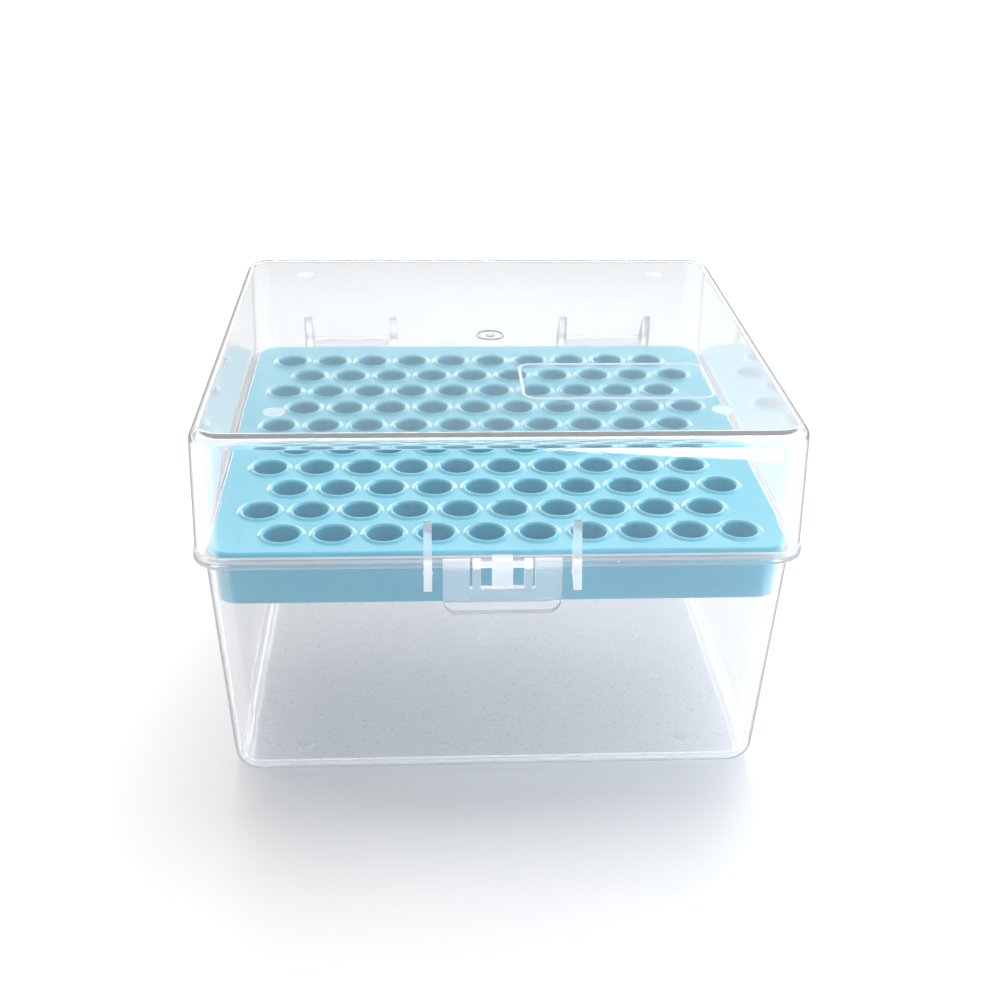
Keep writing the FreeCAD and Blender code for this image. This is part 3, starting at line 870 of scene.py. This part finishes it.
@dataclass
class Lid:
    """The upper shell with ears, pins, latch lug, guards and moulding marks."""

    box: BoxSizes
    flange: float = 1.5
    top_round: float = 2.8
    inner_round: float = 1.2
    ear_thick: float = 2.1
    ear_rise: float = 9.6
    ear_places: Point = (23.2, 47.2)
    stop: tuple[float, float, float] = (1.4, 1.7, 4.7)
    open_angle: float = 110.0
    moving_gap: float = 0.3
    lug_width: float = 4.3
    lug_drop: float = 4.5
    lug_round: float = 0.9
    roll: float = 1.3
    axle: float = 1.4
    axle_reach: float = 6.2
    guard_start: float = 14.6
    guard_thick: float = 1.7
    guard_reach: float = 4.7
    guard_drop: float = 4.3
    guard_slant: float = 2.1
    label: Point = (26.0, -32.2)
    label_half: Point = (20.8, 10.5)
    label_corner: float = 3.0
    label_rib_width: float = 0.55
    label_rib_rise: float = 0.2
    label_rib_round: float = 0.1
    gate: Point = (0.0, -2.6)
    gate_ring_radius: float = 3.4
    gate_ring_width: float = 0.7
    gate_ring_rise: float = 0.35
    sunk: float = 0.4  # how far the rib and the ring start inside the wall
    marks: tuple[Point, ...] = ((-47.0, -47.6), (47.0, -47.6), (-47.0, 47.6), (47.0, 47.6))

    def shell(self) -> Moulding:
        """Loft the drafted shell with its flange.

        Returns:
            The closed shell.
        """
        box = self.box
        wall, over, foot = box.wall, box.parting + self.flange, box.parting + 0.02
        outer = fillet([(20, box.top), (box.lid_inset(box.top), box.top, self.top_round),
                        (box.lid_inset(over), over)], 10)
        rim = fillet([(box.lid_inset(over), over), (0, over, 0.3), (0, foot, 0.2),
                      (0.6, foot)], 3)
        inner = fillet([(0.8, foot), (box.lid_inset(foot) + wall, foot, 0.2),
                        (box.lid_inset(box.top - wall) + wall, box.top - wall,
                         self.inner_round), (20, box.top - wall)], 10)
        levels = stations(outer, lambda i, z: box.lid_corner - (i - box.lid_inset(z)))
        levels += stations(rim[1:], lambda i, z: box.rim_corner - i)
        levels += stations(inner, lambda i, z: box.lid_corner - (i - box.lid_inset(z)))
        shell = Moulding("lid_shell")
        shell.loft(levels, box.half)
        return shell

    def face(self, z: float) -> float:
        """Distance of the outer wall face from the middle plane, front and rear."""
        return self.box.half[1] - self.box.lid_inset(z)

    def ear(self, start: float) -> list[Moulding]:
        """Make one hinge ear with its stop nose.

        Args:
            start: The side of the ear that is nearer the middle.

        Returns:
            The ear and its stop.
        """
        box = self.box
        y, z = box.hinge
        boss = y - box.half[1] - self.moving_gap
        root = box.half[1] - box.lid_step - box.wall / 2
        tip = z + self.ear_rise
        away = Vector((self.face(tip) - y, self.ear_rise))
        side = math.degrees(math.atan2(away.y, away.x) - math.acos(boss / away.length))
        plate = Moulding("ear")
        plate.slab([(root, z + 0.1), (root, tip), (self.face(tip) + 0.25, tip),
                    *arc((y, z), boss, side, -180, 22)], start, self.ear_thick)
        plate.soften(0.18, 50)
        near, thick, reach = self.stop
        turn = Matrix.Rotation(math.radians(self.open_angle), 2)
        nose = [turn @ Vector(p) + Vector(box.hinge)
                for p in ((-reach, -near - thick), (0, -near - thick), (0, -near),
                          (-reach, -near))]
        stop = Moulding("ear_stop")
        stop.slab([tuple(p) for p in nose], start + 0.02, self.ear_thick - 0.04)
        stop.soften(0.15, 50)
        return [plate, stop]

    def pin(self) -> Moulding:
        """Make the hinge pin between one pair of ears.

        Returns:
            The pin.
        """
        near, far = self.ear_places
        pin = Moulding("pin")
        pin.rod(((near + far + self.ear_thick) / 2, *self.box.hinge), self.box.pin / 2,
                far - near + self.ear_thick / 2, Axis.X, 32)
        return pin

    def lug(self) -> list[Moulding]:
        """Make the lug in front of the rims and the stub axles on both its sides.

        Returns:
            The lug and the axles.
        """
        box = self.box
        y, z = box.axle
        front, back = y - self.roll, -box.half[1] - self.moving_gap
        top, low = z + self.roll, box.parting - self.lug_drop
        root = -(box.half[1] - box.lid_step - box.wall / 2)
        block = Moulding("lug")
        block.slab(fillet([(root, box.parting + 0.1), (back, box.parting + 0.1), (back, low),
                           (front, low, self.lug_round), (front, top, self.lug_round),
                           (root, top)], 5), -self.lug_width / 2, self.lug_width)
        block.soften(0.12, 50)
        axles = Moulding("axles")
        axles.rod((0, y, z), self.axle / 2, 2 * self.axle_reach, Axis.X, 24)
        return [block, axles]

    def guard(self) -> list[Moulding]:
        """Make the ear to the right of the latch: a tall blade with a small foot.

        Returns:
            The blade and the foot.
        """
        box = self.box
        root = -(box.half[1] - box.lid_step - box.wall / 2)
        back = -box.half[1] - self.moving_gap
        tip, low = box.parting + self.ear_rise, box.parting - self.guard_drop
        front = -box.half[1] - self.guard_reach
        blade = Moulding("guard")
        blade.slab(fillet([(root, box.parting + 0.1), (back, box.parting + 0.1),
                           (back, low + self.guard_slant), (front + 0.5, low, 0.3),
                           (front, low, 0.3), (-self.face(tip) - 0.25, tip, 0.25),
                           (root, tip)], 4),
                   self.guard_start, self.guard_thick)
        blade.soften(0.25, 50)
        foot = Moulding("guard_foot")
        foot.rod((self.guard_start + self.guard_thick / 2, back - 0.1,
                  low + self.guard_slant), 0.45, self.guard_thick + 0.3, Axis.X, 20)
        foot.soften(0.1)
        return [blade, foot]

    def label_rib(self) -> Moulding:
        """Make the low rib round the label field.

        Returns:
            The closed rib.
        """
        rib = Moulding("label_rib")
        top, deep = self.box.top + self.label_rib_rise, self.box.top - self.sunk
        edge, width = self.label_rib_round, self.label_rib_width
        section = [(0, deep), (0, top - edge), (edge, top), (width - edge, top),
                   (width, top - edge), (width, deep), (0, deep)]
        levels = stations(section, lambda i, z: self.label_corner - i)
        rib.loft(levels, self.label_half, 6, capped=False, middle=self.label)
        bmesh.ops.remove_doubles(rib.bm, verts=rib.bm.verts, dist=0.001 * MM)
        return rib

    def gate_mark(self) -> list[Moulding]:
        """Make the ring and the nub where the plastic was let into the mould.

        Returns:
            The ring and the nub.
        """
        x, y = self.gate
        top = self.box.top
        ring = Moulding("gate_ring")
        outer, rise = self.gate_ring_radius, top + self.gate_ring_rise
        inner = outer - self.gate_ring_width
        bead = fillet([(outer, top - self.sunk), (outer, rise, 0.25), (inner, rise, 0.25),
                       (inner, top - self.sunk)], 3)
        verts = [ring.bm.verts.new(((x + a) * MM, y * MM, z * MM)) for a, z in bead]
        edges = [ring.bm.edges.new(pair) for pair in zip(verts, verts[1:] + verts[:1])]
        bmesh.ops.spin(ring.bm, geom=edges, cent=(x * MM, y * MM, 0), axis=(0, 0, 1),
                       angle=2 * math.pi, steps=48, use_merge=True, use_duplicate=False)
        nub = Moulding("gate_nub")
        nub.rod((x, y, top), 1.1, 0.7, Axis.Z, 32)
        nub.soften(0.2, chosen=lambda e: e.verts[0].co.z > top * MM
                   and e.verts[1].co.z > top * MM)
        return [ring, nub]

    def finish_of(self, spot: Vector) -> int:
        """Pick the finish of a face.

        Args:
            spot: The centre of the face.

        Returns:
            0 for the walls, 1 for the milky guards, lug and flange top with a painted glow (a
            painted highlight line along the flange top), 2 for the frosted pin marks and label rib
            with a painted glow, and 3 for the ears at the rear, flange, top round, corners and gate
            mark with a painted glow and wider painted grey outline (a painted highlight band along
            the top round).
        """
        box = self.box
        # painted highlight: milky glow on the guards, lug and flange top
        if spot.y < -box.half[1] - 0.1 or abs(spot.z - box.parting - self.flange) < 0.25:
            return 1
        if spot.y > box.half[1] + 0.1 or spot.z < box.parting + self.flange:
            return 3
        inside = box.top - box.wall
        on_mark = inside - 0.5 < spot.z < inside - 0.02 and any(
            math.hypot(spot.x - x, spot.y - y) < 2.4 for x, y in self.marks)
        if spot.z > box.top + 0.02 or on_mark:
            x, y = self.gate
            return 3 if math.hypot(spot.x - x, spot.y - y) < 6.0 else 2
        # painted highlight band along the top round
        on_edge = box.top - 0.8 * self.top_round < spot.z < box.top - 0.03
        on_edge = on_edge and abs(spot.z - inside) > 0.02
        return 3 if on_edge or box.at_corner(spot) else 0

    def build(self, finishes: Sequence[bpy.types.Material]) -> None:
        """Build and dress the lid.

        Args:
            finishes: Clear plastic, milky and frosted plastic with a painted glow, and plastic with a
                painted glow and painted grey outline.
        """
        shell = self.shell()
        tools = [self.pin(), *self.guard()]
        for start in self.ear_places:
            tools += self.ear(start)
        tools += [tool.mirrored() for tool in tools]
        shell.blend([*tools, *self.lug()], Blend.ADD)
        marks = [pin_mark(f"lid_mark_{n}", x, y, self.box.top - self.box.wall - 0.02)
                 for n, (x, y) in enumerate(self.marks)]
        shell.blend([self.label_rib(), *self.gate_mark(), *marks], Blend.ADD)
        piece = shell.finish(finishes, "lid", "clear_lid", pick=self.finish_of)
        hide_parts("lid")


@dataclass
class Latch:
    """The flip latch: two wings with ridges, two arms on the axles and a finger lip."""

    box: BoxSizes
    width: float = 24.8
    drop: float = 10.4
    plate: float = 1.4
    roll: float = 1.3
    lip_start: float = 7.0
    lip_curve: float = 7.4
    corner: float = 2.8
    arm: Point = (4.55, 6.2)
    slit: float = 0.6
    window_drop: float = 5.2
    bore: float = 1.5
    ridge: Point = (6.9, 11.3)
    ridge_gap: float = 0.1
    ridge_lead: float = 0.2
    ridge_land: float = 0.5
    ridge_height: float = 1.7
    pad_thick: float = 0.5
    pad_drop: float = 8.0
    sunk: float = 0.7  # how far a ridge starts inside the plate

    def flap(self) -> Moulding:
        """Make the curved plate with its roll along the top and round lower corners.

        Returns:
            The closed plate.
        """
        y, z = self.box.axle
        inner = self.plate - self.roll
        centre = (inner - self.lip_curve, -self.lip_start)
        bend = self.drop - self.lip_start
        start_in = math.degrees(math.asin(bend / self.lip_curve))
        outer = self.lip_curve - self.plate
        start_out = math.degrees(math.asin(bend / outer))
        profile = [*arc((0, 0), self.roll, 180, -4.4, 16),
                   *arc(centre, self.lip_curve, 0, -start_in, 6),
                   *arc(centre, outer, -start_out, 0, 6)]
        flap = Moulding("latch")
        flap.slab([(y + a, z + b) for a, b in profile], -self.width / 2, self.width)
        side, low, radius = self.width / 2, z - self.drop, self.corner
        waste = Moulding("corner_waste")
        waste.slab([*arc((side - radius, low + radius), radius, -90, 0, 10),
                    (side + 1, low + radius), (side + 1, low - 1), (side - radius, low - 1)],
                   y - 5, 10, Axis.Y)
        other = waste.mirrored()
        flap.blend([waste, other], Blend.CUT)
        return flap

    def finish_of(self, spot: Vector) -> int:
        """Pick the finish of a face.

        Args:
            spot: The centre of the face.

        Returns:
            0 for the plate, 1 for the milky arms and roll, 2 for the edges with painted grey shade;
            all have a painted glow.
        """
        z = self.box.axle[1]
        side = abs(spot.x) - (self.width / 2 - self.corner)
        down = z - self.drop + self.corner - spot.z
        # painted shade: the side and lower outline of the plate
        if side > self.corner - 0.12 or max(side, 0.0) ** 2 + max(down, 0.0) ** 2 > (
                self.corner - 0.14) ** 2:
            return 2
        # painted glow: brighter milky arms and roll
        arm = self.arm[0] - 0.05 < abs(spot.x) < self.arm[1] + 0.05
        return 1 if spot.z > z - self.roll * 0.3 or (arm and spot.z > z - self.window_drop
                                                     ) else 0

    def build(self, finishes: Sequence[bpy.types.Material]) -> None:
        """Build and dress the latch.

        Args:
            finishes: The plate's, milky and painted-shade plastic, each with a painted glow.
        """
        y, z = self.box.axle
        flap = self.flap()
        start, end = self.arm
        bottom, top = z - self.window_drop, z + 2 * self.roll
        cuts = []
        for number, (left, right) in enumerate(((-start, start), (end, end + self.slit),
                                                (-end - self.slit, -end))):
            cut = Moulding(f"window_{number}")
            cut.slab([(left, bottom), (right, bottom), (right, top), (left, top)],
                     y - 4, 8, Axis.Y)
            cuts.append(cut)
        bore = Moulding("bore")
        bore.rod((0, y, z), self.bore / 2, 2 * end + self.slit, Axis.X, 24)
        flap.blend([*cuts, bore], Blend.CUT)
        inner = y + self.plate - self.roll
        catch = self.box.parting - self.box.tub_flange
        crest = -self.box.half[1] - self.ridge_gap
        pad, low = inner + self.pad_thick, z - self.pad_drop
        near, far = self.ridge
        ridge = Moulding("ridge")
        ridge.slab([(inner - self.sunk, catch), (inner, catch),
                    (crest, catch - self.ridge_lead),
                    (crest, catch - self.ridge_lead - self.ridge_land),
                    (pad, catch - self.ridge_height), (pad, low), (inner - self.sunk, low)],
                   near, far - near)
        ridge.soften(0.1, 50)
        other = ridge.mirrored()
        flap.blend([ridge, other], Blend.ADD)
        flap.soften(0.1, 60, 2)
        piece = flap.finish(finishes, "latch", "clear_latch", pick=self.finish_of)
        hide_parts("latch")


@dataclass
class Tray:
    """The blue tray: plate, skirt and the field of flared wells."""

    box: BoxSizes
    columns: int = 10
    rows: int = 10
    pitch: Point = (10.9, 11.15)
    field_front: float = 2.4
    bore: float = 3.75
    lip: float = 0.55
    collar: float = 1.5
    rise: float = 0.5
    sink: float = 0.35
    plate: float = 1.5
    lip_gap: float = 1.0
    skirt_gap: float = 0.3
    skirt_depth: float = 11.5
    skirt_corner: float = 4.7
    plate_corner: float = 6.0
    sleeve_depth: float = 9.0
    sleeve_wall: float = 1.1
    edge_round: float = 0.5
    sides: int = 40
    turns: int = 5  # steps of a well's lip and of its collar

    def number(self, spot: Vector) -> int:
        """Which of a ring's points lies at this spot."""
        return round(math.atan2(spot.y, spot.x) / (2 * math.pi) * self.sides) % self.sides

    def circle(self, spot: Vector, radius: float) -> Point:
        """Move a point of a ring to a circle round the well's axis.

        Args:
            spot: The old place.
            radius: The radius of the circle.

        Returns:
            The new place.
        """
        angle = 2 * math.pi * self.number(spot) / self.sides
        return radius * math.cos(angle), radius * math.sin(angle)

    def sleeve(self, spot: Vector) -> Point:
        """Move a point of a ring to the six-sided sleeve, flat to the left and right.

        Args:
            spot: The old place.

        Returns:
            The new place.
        """
        angle = 2 * math.pi * self.number(spot) / self.sides
        sector = math.radians(60)
        reach = (self.bore + self.sleeve_wall) / math.cos(
            (angle + sector / 2) % sector - sector / 2)
        return reach * math.cos(angle), reach * math.sin(angle)

    def patch(self, spot: Vector) -> Point:
        """Move a point of a ring to the border of the plate patch round one well.

        Args:
            spot: The old place.

        Returns:
            The new place.
        """
        step = self.sides // 8
        across, back = self.pitch[0] / 2, self.pitch[1] / 2
        side, place = divmod(self.number(spot) + step, 2 * step)
        share = place / step - 1
        return ((across, back * share), (-across * share, back), (-across, -back * share),
                (across * share, -back))[side % 4]

    def well(self) -> Moulding:
        """Make one well: a patch of plate, its flare, bore and six-sided sleeve.

        Returns:
            The open mesh of the well.
        """
        top, under = self.box.parting + self.plate, self.box.parting
        foot = under - self.sleeve_depth
        well = Moulding("well")
        made = bmesh.ops.create_circle(well.bm, segments=self.sides, radius=self.bore * MM)
        bmesh.ops.translate(well.bm, vec=(0, 0, (top - self.sink) * MM), verts=made["verts"])
        start = list(well.bm.edges)
        edges = start
        for step in range(1, self.turns + 1):
            turn = math.radians(90 * step / self.turns)
            radius = self.bore + self.lip * (1 - math.cos(turn))
            z = top + self.rise - (self.rise + self.sink) * (1 - math.sin(turn))
            edges = well.extend(edges, lambda s: Vector((*self.circle(s, radius), z)))
        for step in range(1, self.turns + 1):
            share = step / self.turns
            radius = self.bore + self.lip + (self.collar - self.lip) * share
            z = top + self.rise * (1 + math.cos(math.pi * share)) / 2
            edges = well.extend(edges, lambda s: Vector((*self.circle(s, radius), z)))
        well.extend(edges, lambda s: Vector((*self.patch(s), top)))
        edges = well.extend(start, lambda s: Vector((s.x, s.y, foot)))
        for z in (foot, under):
            edges = well.extend(edges, lambda s: Vector((*self.sleeve(s), z)))
        well.extend(edges, lambda s: Vector((*self.patch(s), under)))
        return well

    def build(self, material: bpy.types.Material) -> None:
        """Build and dress the tray.

        Args:
            material: Its finish.
        """
        box = self.box
        top, rim = box.parting + self.plate, box.parting
        lip = box.lid_step + box.wall + self.lip_gap
        skirt = box.tub_inset(rim) + box.wall + self.skirt_gap
        foot = rim - self.skirt_depth
        gap = skirt - box.tub_inset(rim)
        inner = skirt + box.wall / 2
        tray = Moulding("tray")
        edge = fillet([(lip + 2, top), (lip, top, self.edge_round), (lip, rim, 0.25),
                       (skirt - 0.1, rim)], 6)
        wall = fillet([(skirt, rim), (box.tub_inset(foot) + gap, foot, 0.4),
                       (box.tub_inset(foot) + gap + box.wall, foot, 0.4), (inner, rim)], 4)
        levels = stations(edge, lambda i, z: self.plate_corner - (i - lip))
        levels += stations(wall, lambda i, z: self.skirt_corner
                           - (i - box.tub_inset(z) - gap))
        tray.loft(levels, box.half, 10, capped=False)
        well = self.well()
        mesh = bpy.data.meshes.new("well")
        well.bm.to_mesh(mesh)
        well.bm.free()
        for row in range(self.rows):
            for column in range(self.columns):
                x = (column - (self.columns - 1) / 2) * self.pitch[0]
                x += self.pitch[0] / 4 * (1 if row % 2 == 0 else -1)
                y = (row - (self.rows - 1) / 2) * self.pitch[1] - self.field_front
                count = len(tray.bm.verts)
                tray.bm.from_mesh(mesh)
                tray.bm.verts.ensure_lookup_table()
                bmesh.ops.translate(tray.bm, vec=(x * MM, y * MM, 0),
                                    verts=tray.bm.verts[count:])
        bpy.data.meshes.remove(mesh)
        bmesh.ops.remove_doubles(tray.bm, verts=tray.bm.verts, dist=0.01 * MM)
        for height in (top, rim):
            border = [e for e in tray.bm.edges if e.is_boundary
                      and all(abs(v.co.z - height * MM) < 1e-7 for v in e.verts)]
            bmesh.ops.triangle_fill(tray.bm, use_beauty=True, edges=border,
                                    normal=(0, 0, 1))
        piece = tray.finish([material], "base", "blue_tray")
        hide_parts("tip_tray")


# ------------------------------------------------------------------ studio

@dataclass(frozen=True)
class Softbox:
    """A soft rectangular light that faces a point.

    Some light the box without showing in its gloss, and some only show there.
    """

    name: str
    place: tuple[float, float, float]
    size: Point
    power: float
    colour: str = "#ffffff"
    aim: tuple[float, float, float] = (0.0, 0.0, 0.05)
    mirrored: bool = True  # seen in gloss and through the plastic
    lights: bool = True  # lights what is matt
    spin: float = 0.0  # degrees round the vertical

    def hang(self) -> None:
        """Add the light to the scene."""
        lamp = bpy.data.lights.new(self.name, "AREA")
        lamp.shape = "RECTANGLE"
        lamp.size, lamp.size_y = self.size
        lamp.energy = self.power
        lamp.color = linear(self.colour)[:3]
        holder = bpy.data.objects.new(self.name, lamp)
        holder.location = self.place
        holder.visible_glossy = holder.visible_transmission = self.mirrored
        holder.visible_diffuse = self.lights
        aim = Vector(self.aim) - Vector(self.place)
        turn = aim.to_track_quat("-Z", "Y").to_matrix()
        holder.rotation_euler = (Matrix.Rotation(math.radians(self.spin), 3, "Z")
                                 @ turn).to_euler()
        bpy.context.scene.collection.objects.link(holder)


@dataclass
class Studio:
    """Floor, soft lights, white surroundings and the camera."""

    floor_size: float = 6.0
    floor_drop: float = 0.0002
    eye: tuple[float, float, float] = (-16.44, -317.93, 196.76)  # millimetres
    pitch: float = 26.18
    yaw: float = 3.54
    roll: float = 1.05
    lens: float = 50.4
    # how bright the surroundings are at the sine of a height above the horizon
    levels: tuple[Point, ...] = ((0.0, 0.22), (0.1, 0.22), (0.24, 0.24), (0.42, 0.25),
                                 (0.5, 1.3), (0.56, 1.15), (0.66, 0.5), (1.0, 0.38))
    front_level: float = 0.8
    mirrored_level: float = 1.4
    rear_level: float = 2.0
    left_level: float = 0.7
    right_level: float = 1.3
    left_tone: str = "#fff8f0"
    right_tone: str = "#f6faff"
    lights: tuple[Softbox, ...] = (
        Softbox("rear_key", (0.25, 0.8, 0.62), (1.2, 0.5), 4.4, mirrored=False),
        Softbox("overhead", (0.0, 0.25, 0.9), (0.7, 0.5), 4.8, "#fff8f0", mirrored=False),
        Softbox("right_side", (0.8, 0.1, 0.3), (0.5, 0.3), 2.8, "#f4f8ff"),
        Softbox("left_side", (-0.8, 0.1, 0.3), (0.5, 0.3), 1.5, "#fff3e6", mirrored=False),
        Softbox("front_cool", (0.45, -0.7, 0.06), (0.35, 0.1), 1.8, "#c8deff", mirrored=False),
        Softbox("rear_low", (0.0, 1.6, 0.28), (2.4, 0.3), 16.0, "#fff8ee", lights=False),
        Softbox("floor_card", (0.0768, -0.2763, 0.001), (0.095, 0.03), 0.3,
                aim=(0.0768, -0.2763, 1.0), lights=False, spin=8.7),
    )

    def floor(self) -> None:
        """Lay the board under the box."""
        bm = bmesh.new()
        bmesh.ops.create_grid(bm, x_segments=1, y_segments=1, size=self.floor_size / 2)
        mesh = bpy.data.meshes.new("floor")
        bm.to_mesh(mesh)
        bm.free()
        floor = bpy.data.objects.new("floor", mesh)
        floor.location.z = -self.floor_drop
        mesh.materials.append(StudioFloor().build())
        bpy.context.scene.collection.objects.link(floor)

    def surroundings(self) -> None:
        """Make the pale surroundings.

        They are brightest in a band some thirty degrees up and behind the box, and warmer
        and dimmer to the left than to the right. The camera sees plain white.
        """
        world = bpy.data.worlds.new("pale_surroundings")
        world.use_nodes = True
        tree = world.node_tree
        tree.nodes.clear()
        place = add_node(tree, "ShaderNodeTexCoord")
        part = add_node(tree, "ShaderNodeSeparateXYZ", {}, {0: place.outputs["Generated"]})
        ramp = add_node(tree, "ShaderNodeValToRGB", {}, {"Fac": part.outputs["Z"]})
        stops = ramp.color_ramp.elements
        while len(stops) < len(self.levels):
            stops.new(0.5)
        for stop, (height, bright) in zip(stops, self.levels):
            stop.position = height
            stop.color = (bright, bright, bright, 1.0)
        path = add_node(tree, "ShaderNodeLightPath")
        front = add_node(tree, "ShaderNodeMapRange",
                         {"To Min": self.mirrored_level, "To Max": self.front_level},
                         {"Value": path.outputs["Is Diffuse Ray"]})
        behind = add_node(tree, "ShaderNodeMapRange",
                          {"From Min": -0.3, "From Max": 0.3, "To Max": self.rear_level},
                          {"Value": part.outputs["Y"], "To Min": front.outputs["Result"]})
        strength = add_node(tree, "ShaderNodeMath", {"operation": "MULTIPLY"},
                            {0: ramp.outputs["Color"], 1: behind.outputs["Result"]})
        side = add_node(tree, "ShaderNodeMapRange", {"From Min": -0.8, "From Max": 0.8},
                        {"Value": part.outputs["X"]})
        tone = add_node(tree, "ShaderNodeMix", {"data_type": "RGBA"},
                        {"Factor": side.outputs["Result"]})
        tone.inputs[6].default_value = linear(self.left_tone)
        tone.inputs[7].default_value = linear(self.right_tone)
        sides = add_node(tree, "ShaderNodeMapRange",
                         {"From Min": -0.6, "From Max": 0.6,
                          "To Min": self.left_level, "To Max": self.right_level},
                         {"Value": part.outputs["X"]})
        level = add_node(tree, "ShaderNodeMath", {"operation": "MULTIPLY"},
                         {0: strength.outputs["Value"], 1: sides.outputs["Result"]})
        seen = add_node(tree, "ShaderNodeMath", {"operation": "MAXIMUM"},
                        {0: level.outputs["Value"], 1: path.outputs["Is Camera Ray"]})
        plain = add_node(tree, "ShaderNodeMix", {"data_type": "RGBA"},
                         {"Factor": path.outputs["Is Camera Ray"], 6: tone.outputs[2]})
        plain.inputs[7].default_value = linear("#ffffff")
        glow = add_node(tree, "ShaderNodeBackground", {},
                        {"Color": plain.outputs[2], "Strength": seen.outputs["Value"]})
        add_node(tree, "ShaderNodeOutputWorld", {}, {"Surface": glow.outputs["Background"]})
        bpy.context.scene.world = world

    def camera(self) -> None:
        """Place the camera in front of the box, above its lid."""
        scene = bpy.context.scene
        camera = bpy.data.cameras.new("camera")
        camera.lens = self.lens
        camera.sensor_width = 36.0
        holder = bpy.data.objects.new("camera", camera)
        turn = (Matrix.Rotation(math.radians(-self.yaw), 4, "Z")
                @ Matrix.Rotation(math.radians(90 - self.pitch), 4, "X")
                @ Matrix.Rotation(math.radians(self.roll), 4, "Z"))
        holder.matrix_world = Matrix.Translation(Vector(self.eye) * MM) @ turn
        scene.collection.objects.link(holder)
        scene.camera = holder

    def build(self) -> None:
        """Set up the studio."""
        self.floor()
        self.surroundings()
        for softbox in self.lights:
            softbox.hang()
        self.camera()
        bpy.context.scene.view_settings.view_transform = "Standard"


def main() -> None:
    """Build every piece, then the studio."""
    logging.basicConfig(level=logging.INFO, format="%(name)s: %(message)s")
    box = BoxSizes()
    # Every clear finish has a painted grey outline where it is seen side on.
    clear = ClearPolypropylene("clarified_polypropylene").build()
    natural = ClearPolypropylene("natural_polypropylene", tint="#ffffff", veil=0.12,
                                 haze=0.04).build()
    # real milky veil plus a painted glow
    milky = ClearPolypropylene("milky_painted_glow_polypropylene", veil=0.34, haze=0.08, painted_glow=0.5).build()
    # real frosted haze plus a painted glow
    frosted = ClearPolypropylene("frosted_painted_glow_polypropylene", veil=0.45, haze=0.2,
                                 painted_glow=0.35).build()
    # painted glow and a wider painted grey outline, for rims, corners and the lid's top round
    edge = ClearPolypropylene("painted_edge_glow_polypropylene", veil=0.15, haze=0.04, painted_glow=0.35,
                              edge_start=0.55).build()
    # the latch plate: painted glow and a wider painted grey outline
    plate = ClearPolypropylene("latch_polypropylene", veil=0.13, haze=0.05, painted_glow=0.6,
                               edge_start=0.5).build()
    satin = ClearPolypropylene("satin_polypropylene", tint="#ffffff", veil=0.14,
                               haze=0.3).build()
    # painted shade: a grey veil and grey glow for the latch's outline
    painted_shade = ClearPolypropylene("painted_shade_polypropylene", veil_colour="#9c9fa6", veil=0.5,
                                haze=0.05, painted_glow=0.35).build()
    Tub(box).build([natural, edge, satin, milky])
    Lid(box).build([clear, milky, frosted, edge])
    Latch(box).build([plate, milky, painted_shade])
    Tray(box).build(BluePolypropylene("blue_polypropylene").build())
    Studio().build()


if __name__ == "__main__":
    main()
